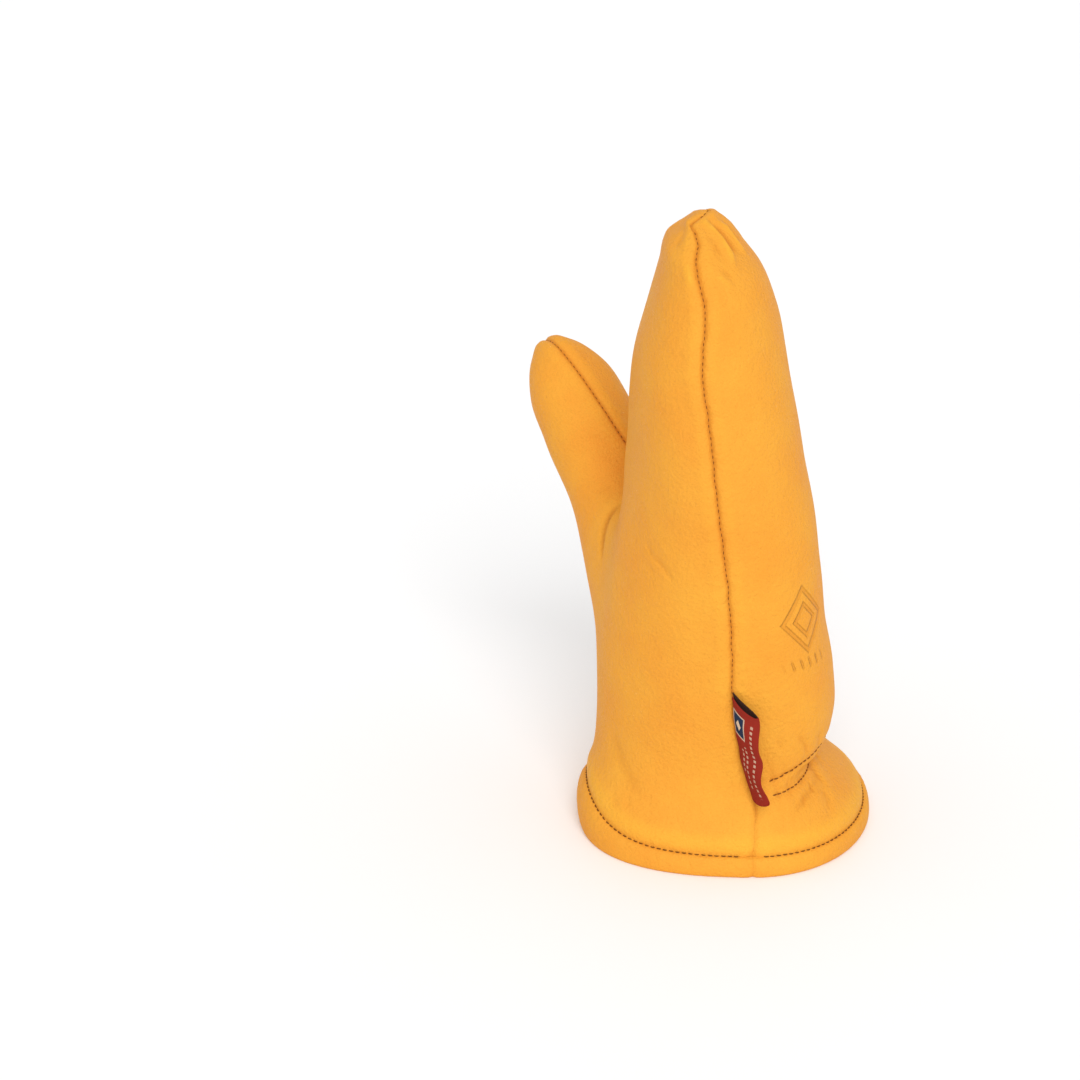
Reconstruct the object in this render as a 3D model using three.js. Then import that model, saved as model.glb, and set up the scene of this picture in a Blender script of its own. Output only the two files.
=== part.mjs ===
import * as THREE from 'three';

// Left-hand leather mitten, standing on its open cuff.
// X runs from the palm (-X) to the back of the hand (+X), Y from the little finger's side (-Y)
// to the thumb's side (+Y), and Z from the cuff's edge up to the fingertips.

// Driving dimensions, in millimetres and degrees.
const mitten_height = 246.5;   // from the cuff's edge to the fingertips
const wrist_height = 32;       // from the cuff's edge to the gathered wrist
const cuff_width = 115;        // palm to back at the cuff's edge
const cuff_breadth = 110;      // little finger to thumb at the cuff's edge
const hand_thickness = 94;     // palm to back at the heel of the hand
const hand_breadth = 96;       // little finger to thumb across the palm
const thumb_length = 115;      // from its root inside the palm to its tip
const thumb_width = 40;        // seam to seam
const thumb_thickness = 38;    // palm side to back
const leather = 1.6;           // wall of both panels
const seam_gap = 0.3;          // between the two panels, and between a panel and the hem
const hem_height = 8;          // outer leg of the turned edge
const hem_turn = 12;           // inner leg of the turned edge
const hem_wall = 1.6;          // leather of the turned edge
const hem_floor = 2;           // thickness of the fold that the mitten stands on
const hem_swell = 0.7;         // how far the fold stands out at its middle
const tag_height = 43;
const tag_width = 11;          // from the seam to the free edge
const tag_thickness = 1.2;     // a tape folded double
const tag_base = 29;           // lower end, above the cuff's edge
const tag_drop = 8;            // how much lower the free edge's top corner lies

// Sections of the cuff, from its edge to the gathered wrist.
// rise is a share of wrist_height; palm, back, seam, index are shares of half of cuff_width;
// near, far and turn are shares of half of cuff_breadth.
const cuff_sections = [
  { rise: 0, palm: -0.99, back: 0.965, near: -1.01, far: 0.965, seam: 0.085, index: 0.035, turn: 0.145 },
  { rise: 0.25, palm: -1, back: 0.94, near: -0.99, far: 0.945, seam: 0.105, index: 0.015, turn: 0.135 },
  { rise: 0.56, palm: -0.965, back: 0.825, near: -0.93, far: 0.91, seam: 0.115, index: 0, turn: 0.105 },
  { rise: 0.84, palm: -0.925, back: 0.645, near: -0.865, far: 0.865, seam: 0.1, index: -0.035, turn: 0.055 },
  { rise: 1, palm: -0.908, back: 0.55, near: -0.84, far: 0.845, seam: 0.08, index: -0.078, turn: 0.035 },
];

// Sections of the hand, from just above the wrist to the fingertips.
// rise is a share of the height above the wrist; palm, back, seam, index are shares of half of
// hand_thickness; near, far and turn are shares of half of hand_breadth.
const hand_sections = [
  { rise: 0.03, palm: -1.098, back: 0.78, near: -0.95, far: 0.96, seam: 0.075, index: -0.15, turn: 0.015 },
  { rise: 0.085, palm: -1.090, back: 0.843, near: -0.960, far: 0.960, seam: 0.020, index: -0.277 },
  { rise: 0.177, palm: -1.092, back: 0.819, near: -0.980, far: 0.980, seam: -0.043, index: -0.425 },
  { rise: 0.280, palm: -1.075, back: 0.723, near: -1.000, far: 1.000, seam: -0.064, index: -0.510 },
  { rise: 0.387, palm: -1.020, back: 0.664, near: -1.000, far: 1.000, seam: -0.106, index: -0.510 },
  { rise: 0.480, palm: -0.926, back: 0.621, near: -0.990, far: 0.960, seam: -0.164, index: -0.447 },
  { rise: 0.573, palm: -0.872, back: 0.528, near: -0.960, far: 0.917, seam: -0.223, index: -0.383 },
  { rise: 0.667, palm: -0.868, back: 0.447, near: -0.906, far: 0.875, seam: -0.283, index: -0.351 },
  { rise: 0.760, palm: -0.826, back: 0.368, near: -0.833, far: 0.833, seam: -0.336, index: -0.340 },
  { rise: 0.839, palm: -0.728, back: 0.290, near: -0.750, far: 0.750, seam: -0.340, index: -0.340 },
  { rise: 0.905, palm: -0.650, back: 0.175, near: -0.625, far: 0.625, seam: -0.351, index: -0.340 },
  { rise: 0.956, palm: -0.590, back: -0.020, near: -0.417, far: 0.417, seam: -0.394, index: -0.340 },
  { rise: 0.986, palm: -0.410, back: -0.140, near: -0.219, far: 0.219, seam: -0.380, index: -0.320 },
  { rise: 1.000, palm: -0.266, back: -0.266, near: 0.000, far: 0.000, seam: -0.266, index: -0.266 },
];

// Sections of the thumb, from its root to its tip.
// reach is a share of the thumb's axis, across a share of half of thumb_width, and deep a share
// of half of thumb_thickness.
const thumb_sections = [
  { reach: 0.000, across: 1.55, deep: 1.55 },
  { reach: 0.200, across: 1.46, deep: 1.51 },
  { reach: 0.380, across: 1.14, deep: 1.28 },
  { reach: 0.520, across: 0.94, deep: 1.08 },
  { reach: 0.720, across: 1.01, deep: 1.02 },
  { reach: 0.860, across: 0.92, deep: 0.90 },
  { reach: 0.955, across: 0.66, deep: 0.56 },
  { reach: 1.000, across: 0.00, deep: 0.00 },
];

// The thumb's axis: its root as shares of half of hand_thickness, half of hand_breadth and
// mitten_height, and the steps from there to its bend and its tip as shares of thumb_length.
const thumb_root = { x: -0.73, y: 0.33, z: 0.329 };
const thumb_to_bend = new THREE.Vector3(-0.011, 0.342, 0.293);
const thumb_to_tip = new THREE.Vector3(-0.336, 0.598, 0.769);

// Where the thumb's inner seam faces, at its root and at its tip.
const seam_facing_root = new THREE.Vector3(1.00, -0.29, -0.47);
const seam_facing_tip = new THREE.Vector3(-0.10, -0.85, 1.07);

// The part of each panel that turns into the thumb: it lies beside the thumb-side seam, between
// two shares of the way from cuff to fingertips, and starts at a share of the way across a panel.
const thumb_block = { low: 0.215, high: 0.555, palm: 0.42, back: 0.66, blend: 0.62 };
const fullness = 0.92;         // 1 would make each section an ellipse
const grid = {
  below: 8,
  block: 22,
  above: 15,
  palm: [11, 14],
  back: [14, 11],
};
const probe = 1e-3;            // step for slopes, as a share of a panel
const halvings = 40;           // steps that home in on a height

// A spline through a table: each column is a smooth function of how far along the table one is.
class TableCurve {
  constructor(rows, names, even) {
    const last = rows[rows.length - 1];
    const before = rows[rows.length - 2];
    const beyond = {};
    for (const name of names) {
      beyond[name] = even.includes(name) ? before[name] : 2 * last[name] - before[name];
    }
    this.rows = [...rows, beyond];
    this.names = names;
  }

  // Knots are the lengths of the steps between rows, measured in two of the columns.
  measure(first, second) {
    const knots = [0];
    for (let i = 1; i < this.rows.length; i++) {
      const a = this.rows[i - 1];
      const b = this.rows[i];
      knots.push(knots[i - 1] + Math.hypot(b[first] - a[first], b[second] - a[second]));
    }
    const whole = knots[knots.length - 2];
    this.knots = knots.map((knot) => knot / whole);
    return this;
  }

  slope(i, name) {
    const { rows, knots } = this;
    const step = (k) => (rows[k + 1][name] - rows[k][name]) / (knots[k + 1] - knots[k]);
    if (i === 0) return step(0);
    const ahead = knots[i + 1] - knots[i];
    const behind = knots[i] - knots[i - 1];
    return (step(i - 1) * ahead + step(i) * behind) / (ahead + behind);
  }

  at(t) {
    const { rows, knots, names } = this;
    let i = 0;
    while (i < rows.length - 3 && t >= knots[i + 1]) i++;
    const span = knots[i + 1] - knots[i];
    const x = (t - knots[i]) / span;
    const result = {};
    for (const name of names) {
      const start = (1 + 2 * x) * (1 - x) ** 2 * rows[i][name];
      const end = (3 - 2 * x) * x ** 2 * rows[i + 1][name];
      const bend = x * (1 - x) ** 2 * this.slope(i, name) - x ** 2 * (1 - x) * this.slope(i + 1, name);
      result[name] = start + end + span * bend;
    }
    return result;
  }
}

const section_names = ['z', 'palm', 'back', 'near', 'far', 'seam', 'index', 'turn'];

function sized(row, floor, height, width, breadth) {
  return {
    z: floor + row.rise * height,
    palm: row.palm * width / 2,
    back: row.back * width / 2,
    near: row.near * breadth / 2,
    far: row.far * breadth / 2,
    seam: row.seam * width / 2,
    index: row.index * width / 2,
    turn: (row.turn ?? 0) * breadth / 2,
  };
}

const hand_height = mitten_height - wrist_height;
const body_curve = new TableCurve(
  [
    ...cuff_sections.map((row) => sized(row, 0, wrist_height, cuff_width, cuff_breadth)),
    ...hand_sections.map((row) => sized(row, wrist_height, hand_height, hand_thickness, hand_breadth)),
  ],
  section_names,
  ['z', 'turn'],
).measure('z', 'near');

const thumb_curve = new TableCurve(
  thumb_sections.map((row) => ({
    reach: row.reach * thumb_length,
    across: row.across * thumb_width / 2,
    deep: row.deep * thumb_thickness / 2,
  })),
  ['reach', 'across', 'deep'],
  ['reach'],
).measure('reach', 'across');

const thumb_start = new THREE.Vector3(
  thumb_root.x * hand_thickness / 2,
  thumb_root.y * hand_breadth / 2,
  thumb_root.z * mitten_height,
);
const thumb_axis = new THREE.QuadraticBezierCurve3(
  thumb_start,
  thumb_start.clone().addScaledVector(thumb_to_bend, thumb_length),
  thumb_start.clone().addScaledVector(thumb_to_tip, thumb_length),
);

function eased(x) {
  const t = Math.min(Math.max(x, 0), 1);
  return t * t * (3 - 2 * t);
}

// Half of a section of the body: across runs from the little finger's seam (0) to the thumb's (1).
function bodyPoint(side, across, along) {
  const row = body_curve.at(along);
  const angle = Math.PI * across;
  const c = Math.cos(angle);
  const s = Math.max(Math.sin(angle), 0);
  const half = (row.far - row.near) / 2;
  const middle = (row.far + row.near) / 2;
  const chord = row.seam + (row.index - row.seam) * (1 - c) / 2;
  const depth = row[side] - (row.seam + row.index) / 2;
  const turn = row.turn * s * s * (side === 'palm' ? -1 : 1);
  return new THREE.Vector3(
    chord + depth * s ** fullness,
    middle - half * Math.sign(c) * Math.abs(c) ** fullness + turn,
    row.z,
  );
}

// Half of a section of the thumb: turned is an angle from the middle of the side (0) to a seam.
function thumbPoint(side, share, turned) {
  const row = thumb_curve.at(share);
  const t = Math.min(row.reach / thumb_length, 1);
  const tangent = thumb_axis.getTangent(t);
  const finger = seam_facing_root.clone().lerp(seam_facing_tip, t);
  finger.addScaledVector(tangent, -finger.dot(tangent)).normalize();
  const outward = tangent.clone().cross(finger);
  if (side === 'palm') outward.negate();
  return thumb_axis.getPoint(t)
    .addScaledVector(finger, row.across * Math.sin(turned))
    .addScaledVector(outward, row.deep * Math.cos(turned));
}

// A panel's outer face. Inside the thumb's block, the square beside the seam is drawn as half a
// disc, whose rim stays on the body, whose radii run up the thumb and whose centre is its tip.
function skinPoint(side, across, along) {
  const base = bodyPoint(side, across, along);
  const middle = (thumb_block.low + thumb_block.high) / 2;
  const reach = (thumb_block.high - thumb_block.low) / 2;
  const x = (1 - across) / (1 - thumb_block[side]);
  const y = (along - middle) / reach;
  if (x >= 1 || Math.abs(y) >= 1) return base;
  const disc_x = x * Math.sqrt(1 - y * y / 2);
  const disc_y = y * Math.sqrt(1 - x * x / 2);
  const radius = Math.min(Math.hypot(disc_x, disc_y), 1);
  const tube = thumbPoint(side, 1 - radius, Math.atan2(disc_y, disc_x));
  return base.lerp(tube, eased((1 - radius) / thumb_block.blend));
}

// The direction across a panel, from the palm to the back where it meets a seam.
function acrossSlope(side, across, along) {
  if (across < probe || across > 1 - probe) {
    const inside = Math.min(Math.max(across, probe), 1 - probe);
    return skinPoint('back', inside, along).sub(skinPoint('palm', inside, along)).normalize();
  }
  return skinPoint(side, across + probe, along).sub(skinPoint(side, across - probe, along)).normalize();
}

function outwardNormal(side, across, along) {
  if (along > 1 - probe) return new THREE.Vector3(0, 0, 1);
  const up = skinPoint(side, across, along + probe).sub(skinPoint(side, across, along - probe));
  const over = acrossSlope(side, across, along);
  const normal = over.cross(up).normalize();
  const at_seam = across < probe || across > 1 - probe;
  const flipped = at_seam ? across > 0.5 : side === 'palm';
  return flipped ? normal.negate() : normal;
}

function lerp(a, b, t) {
  return a + (b - a) * t;
}

// Evenly spaced shares in each stretch between stops.
function stations(stops, counts) {
  const result = [stops[0]];
  counts.forEach((count, k) => {
    for (let i = 1; i <= count; i++) result.push(lerp(stops[k], stops[k + 1], i / count));
  });
  return result;
}

// How far along the body a height above the cuff's edge lies.
function alongAt(height) {
  let low = 0;
  let high = 1;
  for (let i = 0; i < halvings; i++) {
    const middle = (low + high) / 2;
    if (body_curve.at(middle).z < height) low = middle;
    else high = middle;
  }
  return low;
}

function closedMesh(name, points, faces, look) {
  const geometry = new THREE.BufferGeometry();
  geometry.setAttribute('position', new THREE.Float32BufferAttribute(points.flatMap((p) => p.toArray()), 3));
  geometry.setIndex(faces.flat());
  geometry.computeVertexNormals();
  const mesh = new THREE.Mesh(geometry, new THREE.MeshStandardMaterial(look));
  mesh.name = name;
  return mesh;
}

function quad(faces, a, b, c, d) {
  faces.push([a, b, c], [a, c, d]);
}

function acrossStations(side) {
  return stations([0, thumb_block[side], 1], grid[side]);
}

// One panel: an outer and an inner skin a wall apart, closed along both seams and at the cuff.
function panel(side, name, look) {
  const columns = acrossStations(side);
  const floor = alongAt(hem_floor + seam_gap);
  const rows = stations([floor, thumb_block.low, thumb_block.high, 1], [grid.below, grid.block, grid.above]);
  const wide = columns.length;
  const tall = rows.length - 1;
  const points = [];
  const faces = [];
  const set_back = side === 'palm' ? -seam_gap / 2 : seam_gap / 2;

  function addSkin(inset) {
    const start = points.length;
    for (const along of rows.slice(0, -1)) {
      columns.forEach((across, i) => {
        const point = skinPoint(side, across, along);
        if (i === 0 || i === wide - 1) point.addScaledVector(acrossSlope(side, across, along), set_back);
        const normal = outwardNormal(side, across, along);
        if (along === floor) normal.setZ(0).normalize();
        points.push(point.addScaledVector(normal, -inset));
      });
    }
    const tip = skinPoint(side, 0.5, 1);
    tip.x += set_back;
    tip.z -= inset;
    points.push(tip);
    return start;
  }

  const outer = addSkin(0);
  const inner = addSkin(leather);
  const flip = side === 'palm';
  const face = (a, b, c, d) => (flip ? quad(faces, a, d, c, b) : quad(faces, a, b, c, d));
  const triangle = (a, b, c) => faces.push(flip ? [a, c, b] : [a, b, c]);
  const at = (start, i, j) => start + j * wide + i;

  for (let j = 0; j < tall - 1; j++) {
    for (let i = 0; i < wide - 1; i++) {
      face(at(outer, i, j), at(outer, i + 1, j), at(outer, i + 1, j + 1), at(outer, i, j + 1));
      face(at(inner, i, j), at(inner, i, j + 1), at(inner, i + 1, j + 1), at(inner, i + 1, j));
    }
    face(at(outer, 0, j), at(outer, 0, j + 1), at(inner, 0, j + 1), at(inner, 0, j));
    const last = wide - 1;
    face(at(outer, last, j), at(inner, last, j), at(inner, last, j + 1), at(outer, last, j + 1));
  }
  const top = tall - 1;
  const outer_tip = at(outer, 0, tall);
  const inner_tip = at(inner, 0, tall);
  for (let i = 0; i < wide - 1; i++) {
    face(at(outer, i, 0), at(inner, i, 0), at(inner, i + 1, 0), at(outer, i + 1, 0));
    triangle(at(outer, i, top), at(outer, i + 1, top), outer_tip);
    triangle(at(inner, i, top), inner_tip, at(inner, i + 1, top));
  }
  face(at(outer, 0, top), outer_tip, inner_tip, at(inner, 0, top));
  face(at(outer, wide - 1, top), at(inner, wide - 1, top), inner_tip, outer_tip);
  return closedMesh(name, points, faces, look);
}

// The turned edge of the cuff: a channel that runs round the lower edge of both panels. Its
// offsets are measured square to the leather and carried out level.
function hem(name, look) {
  const inner_face = -leather - seam_gap;
  const outline = [
    [seam_gap, hem_floor],
    [seam_gap, hem_height],
    [seam_gap + hem_wall, hem_height],
    [seam_gap + hem_wall + hem_swell, hem_height / 2],
    [seam_gap + hem_wall, 0],
    [inner_face - hem_wall, 0],
    [inner_face - hem_wall - hem_swell, hem_height / 2],
    [inner_face - hem_wall, hem_turn],
    [inner_face, hem_turn],
    [inner_face, hem_floor],
  ];
  const ring = [
    ...acrossStations('palm').map((across) => ['palm', across]),
    ...acrossStations('back').slice(1, -1).reverse().map((across) => ['back', across]),
  ];
  const points = [];
  const faces = [];
  for (const [side, across] of ring) {
    for (const [offset, height] of outline) {
      const along = Math.max(alongAt(height), probe);
      const level = outwardNormal(side, across, along).setZ(0);
      const step = offset / level.lengthSq();
      points.push(skinPoint(side, across, along).setZ(height).addScaledVector(level, step));
    }
  }
  const round = outline.length;
  for (let i = 0; i < ring.length; i++) {
    for (let k = 0; k < round; k++) {
      const here = i * round;
      const next = (i + 1) % ring.length * round;
      const after = (k + 1) % round;
      quad(faces, here + k, next + k, next + after, here + after);
    }
  }
  return closedMesh(name, points, faces, look);
}

// The folded tape in the side seam: it leaves the seam outwards and curls over the back, flatter
// at its upper end. turn_out and turn_over are its headings at the seam and at the free edge.
const tag_ends = {
  lower: { turn_out: 5, turn_over: 50 },
  upper: { turn_out: 35, turn_over: 95 },
};
const tag_steps = { along: 10, across: 6 };

function tagPoint(up, out, offset) {
  const start = THREE.MathUtils.degToRad(lerp(tag_ends.lower.turn_out, tag_ends.upper.turn_out, up));
  const end = THREE.MathUtils.degToRad(lerp(tag_ends.lower.turn_over, tag_ends.upper.turn_over, up));
  const heading = lerp(start, end, out);
  const radius = tag_width / (end - start);
  const root = skinPoint('palm', 0, alongAt(tag_base + up * tag_height));
  root.y -= seam_gap + tag_thickness / 2;
  return root.add(new THREE.Vector3(
    radius * (Math.cos(start) - Math.cos(heading)) + offset * Math.cos(heading),
    -radius * (Math.sin(heading) - Math.sin(start)) + offset * Math.sin(heading),
    -out * up * tag_drop,
  ));
}

function tag(name, look) {
  const { along, across } = tag_steps;
  const points = [];
  const faces = [];
  for (const offset of [tag_thickness / 2, -tag_thickness / 2]) {
    for (let j = 0; j <= along; j++) {
      for (let i = 0; i <= across; i++) points.push(tagPoint(j / along, i / across, offset));
    }
  }
  const back = (along + 1) * (across + 1);
  const at = (i, j) => j * (across + 1) + i;
  for (let j = 0; j < along; j++) {
    for (let i = 0; i < across; i++) {
      quad(faces, at(i, j), at(i, j + 1), at(i + 1, j + 1), at(i + 1, j));
      quad(faces, back + at(i, j), back + at(i + 1, j), back + at(i + 1, j + 1), back + at(i, j + 1));
    }
    quad(faces, at(0, j), back + at(0, j), back + at(0, j + 1), at(0, j + 1));
    quad(faces, at(across, j), at(across, j + 1), back + at(across, j + 1), back + at(across, j));
  }
  for (let i = 0; i < across; i++) {
    quad(faces, at(i, 0), at(i + 1, 0), back + at(i + 1, 0), back + at(i, 0));
    quad(faces, at(i, along), back + at(i, along), back + at(i + 1, along), at(i + 1, along));
  }
  return closedMesh(name, points, faces, look);
}

const golden_leather = { color: 0xf6ab45, roughness: 0.55, metalness: 0 };
const folded_leather = { color: 0xefa23e, roughness: 0.6, metalness: 0 };
const woven_red = { color: 0x9e2f2a, roughness: 0.85, metalness: 0 };

const mitten = new THREE.Group();
mitten.add(
  panel('palm', 'palm_panel', golden_leather),
  panel('back', 'back_panel', golden_leather),
  hem('cuff_hem', folded_leather),
  tag('seam_tag', woven_red),
);

// The origin is the middle of the footprint, on the surface that the cuff stands on.
const box = new THREE.Box3().setFromObject(mitten);
mitten.position.set(-(box.min.x + box.max.x) / 2, -(box.min.y + box.max.y) / 2, -box.min.z);

export default mitten;
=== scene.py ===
"""A golden leather mitten for the left hand, standing on its open, turned cuff.

The classes work in millimetres in the mitten's own axes: X from the palm to the back of the hand, Y from
the little finger's side to the thumb's side, Z from the cuff's edge up to the fingertips. Meshes are
written in metres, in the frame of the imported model.
"""

import logging
from dataclasses import dataclass, field
from enum import Enum

import bpy
import numpy as np
from mathutils import Matrix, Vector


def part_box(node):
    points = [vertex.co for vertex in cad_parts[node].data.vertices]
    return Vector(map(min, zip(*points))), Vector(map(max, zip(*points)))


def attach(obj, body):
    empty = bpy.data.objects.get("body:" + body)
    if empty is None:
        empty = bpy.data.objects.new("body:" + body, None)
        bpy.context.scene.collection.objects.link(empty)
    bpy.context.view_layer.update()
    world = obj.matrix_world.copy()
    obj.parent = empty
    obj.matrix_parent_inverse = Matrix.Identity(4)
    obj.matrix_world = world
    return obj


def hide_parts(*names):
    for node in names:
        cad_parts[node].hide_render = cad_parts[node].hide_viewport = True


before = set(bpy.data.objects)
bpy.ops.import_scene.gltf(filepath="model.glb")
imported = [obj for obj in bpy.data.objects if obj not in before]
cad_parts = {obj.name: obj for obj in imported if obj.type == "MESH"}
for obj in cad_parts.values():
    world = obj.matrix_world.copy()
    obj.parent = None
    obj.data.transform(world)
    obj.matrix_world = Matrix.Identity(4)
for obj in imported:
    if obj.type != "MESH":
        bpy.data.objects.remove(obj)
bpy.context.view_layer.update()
LOG = logging.getLogger("mitten")
MM = 0.001
SHARP_DEGREES = 50.0
Array = np.ndarray


class Side(Enum):
    """The two leather panels, named after the side of the hand that they cover."""

    PALM = "palm"
    BACK = "back"


class Seam(Enum):
    """The edge of a panel: the little finger's seam, or the one that runs round the thumb."""

    NEAR = 0
    FAR = -1


def unit(vectors: Array) -> Array:
    """Scales vectors to length 1.

    Args:
        vectors: an array whose last axis holds X, Y and Z.

    Returns:
        The same directions, each of length 1.
    """
    return vectors / np.maximum(np.linalg.norm(vectors, axis=-1, keepdims=True), 1e-12)


def eased(x: Array) -> Array:
    """Goes smoothly from 0 at x = 0 to 1 at x = 1, by 3x² - 2x³."""
    t = np.clip(x, 0.0, 1.0)
    return t * t * (3.0 - 2.0 * t)


def bell(distance: Array, width: float) -> Array:
    """A bell curve, exp(-(distance / width)²), which is 1 at distance 0."""
    return np.exp(-(distance / width) ** 2)


def stations(stops: list[float], counts: list[int]) -> Array:
    """Evenly spaced values in each stretch between stops.

    Args:
        stops: the ends of the stretches, in order.
        counts: how many steps each stretch is cut into.

    Returns:
        All the values, from the first stop to the last.
    """
    parts = [np.linspace(a, b, n, endpoint=False) for a, b, n in zip(stops, stops[1:], counts)]
    return np.concatenate(parts + [np.array([stops[-1]])])


@dataclass(frozen=True)
class Section:
    """A level section of the mitten: shares of the sizes that it follows.

    Args:
        rise: height, as a share of the stretch that it belongs to.
        palm, back: how far the palm and the back of the hand lie from the upright axis.
        near, far: how far the little finger's side and the thumb's side lie from it.
        seam, index: where the two seams lie between palm and back.
        turn: how far palm and back are turned about the upright axis.
    """

    rise: float
    palm: float
    back: float
    near: float
    far: float
    seam: float
    index: float
    turn: float = 0.0


@dataclass(frozen=True)
class ThumbSection:
    """A section across the thumb: reach along its axis, half width across and half depth."""

    reach: float
    across: float
    deep: float


# From the cuff's edge up to the wrist.
CUFF_SECTIONS = (
    Section(0.00, -0.990, 0.965, -1.010, 0.965, 0.085, 0.035, 0.145),
    Section(0.25, -1.000, 0.940, -0.990, 0.945, 0.105, 0.015, 0.135),
    Section(0.56, -0.965, 0.825, -0.930, 0.910, 0.115, 0.000, 0.105),
    Section(0.84, -0.925, 0.645, -0.865, 0.865, 0.100, -0.035, 0.055),
    Section(1.00, -0.908, 0.550, -0.840, 0.845, 0.080, -0.078, 0.035),
)
# From the wrist up to the fingertips.
HAND_SECTIONS = (
    Section(0.030, -1.098, 0.780, -0.950, 0.960, 0.075, -0.150, 0.015),
    Section(0.085, -1.090, 0.843, -0.960, 0.960, 0.020, -0.277),
    Section(0.177, -1.092, 0.819, -0.980, 0.980, -0.043, -0.425),
    Section(0.280, -1.075, 0.723, -1.000, 1.000, -0.064, -0.510),
    Section(0.387, -1.020, 0.664, -1.000, 1.000, -0.106, -0.510),
    Section(0.480, -0.926, 0.621, -0.990, 0.960, -0.164, -0.447),
    Section(0.573, -0.872, 0.528, -0.960, 0.917, -0.223, -0.383),
    Section(0.667, -0.868, 0.447, -0.906, 0.875, -0.283, -0.351),
    Section(0.760, -0.826, 0.368, -0.833, 0.833, -0.336, -0.340),
    Section(0.839, -0.728, 0.290, -0.750, 0.750, -0.340, -0.340),
    Section(0.905, -0.650, 0.175, -0.625, 0.625, -0.351, -0.340),
    Section(0.956, -0.590, -0.020, -0.417, 0.417, -0.394, -0.340),
    Section(0.986, -0.410, -0.140, -0.219, 0.219, -0.380, -0.320),
    Section(1.000, -0.266, -0.266, 0.000, 0.000, -0.266, -0.266),
)
# From the thumb's root, inside the palm, to its tip.
THUMB_SECTIONS = (
    ThumbSection(0.000, 1.55, 1.55),
    ThumbSection(0.200, 1.46, 1.51),
    ThumbSection(0.380, 1.14, 1.28),
    ThumbSection(0.520, 0.94, 1.08),
    ThumbSection(0.720, 1.01, 1.02),
    ThumbSection(0.860, 0.92, 0.90),
    ThumbSection(0.955, 0.66, 0.56),
    ThumbSection(1.000, 0.00, 0.00),
)


class TableCurve:
    """A smooth curve through the rows of a table, which goes on past its last row as its mirror image."""

    def __init__(self, rows: Array, even: list[int], measured: tuple[int, int]) -> None:
        """Sets the curve up.

        Args:
            rows: one row for each section, one column for each quantity.
            even: columns that turn back past the last row, where the others go on.
            measured: the two columns whose steps space the rows.
        """
        beyond = 2.0 * rows[-1] - rows[-2]
        beyond[even] = rows[-2][even]
        self.rows = np.vstack([rows, beyond])
        steps = np.hypot(*np.diff(self.rows[:, measured], axis=0).T)
        knots = np.concatenate([[0.0], np.cumsum(steps)])
        self.knots = knots / knots[-2]
        spans = np.diff(self.knots)[:, None]
        slopes = np.diff(self.rows, axis=0) / spans
        inner = (slopes[:-1] * spans[1:] + slopes[1:] * spans[:-1]) / (spans[1:] + spans[:-1])
        self.slopes = np.vstack([slopes[:1], inner, slopes[-1:]])

    def at(self, t: Array) -> Array:
        """Looks every column up, by cubic Hermite pieces between the rows.

        Args:
            t: how far along the table, from 0 at its first row to 1 at its last.

        Returns:
            The columns, on a new first axis.
        """
        i = np.clip(np.searchsorted(self.knots, t, side="right") - 1, 0, len(self.knots) - 3)
        span = self.knots[i + 1] - self.knots[i]
        x = ((t - self.knots[i]) / span)[..., None]
        start = (1 + 2 * x) * (1 - x) ** 2 * self.rows[i]
        end = (3 - 2 * x) * x ** 2 * self.rows[i + 1]
        bend = x * (1 - x) ** 2 * self.slopes[i] - x ** 2 * (1 - x) * self.slopes[i + 1]
        return np.moveaxis(start + end + span[..., None] * bend, -1, 0)


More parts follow.
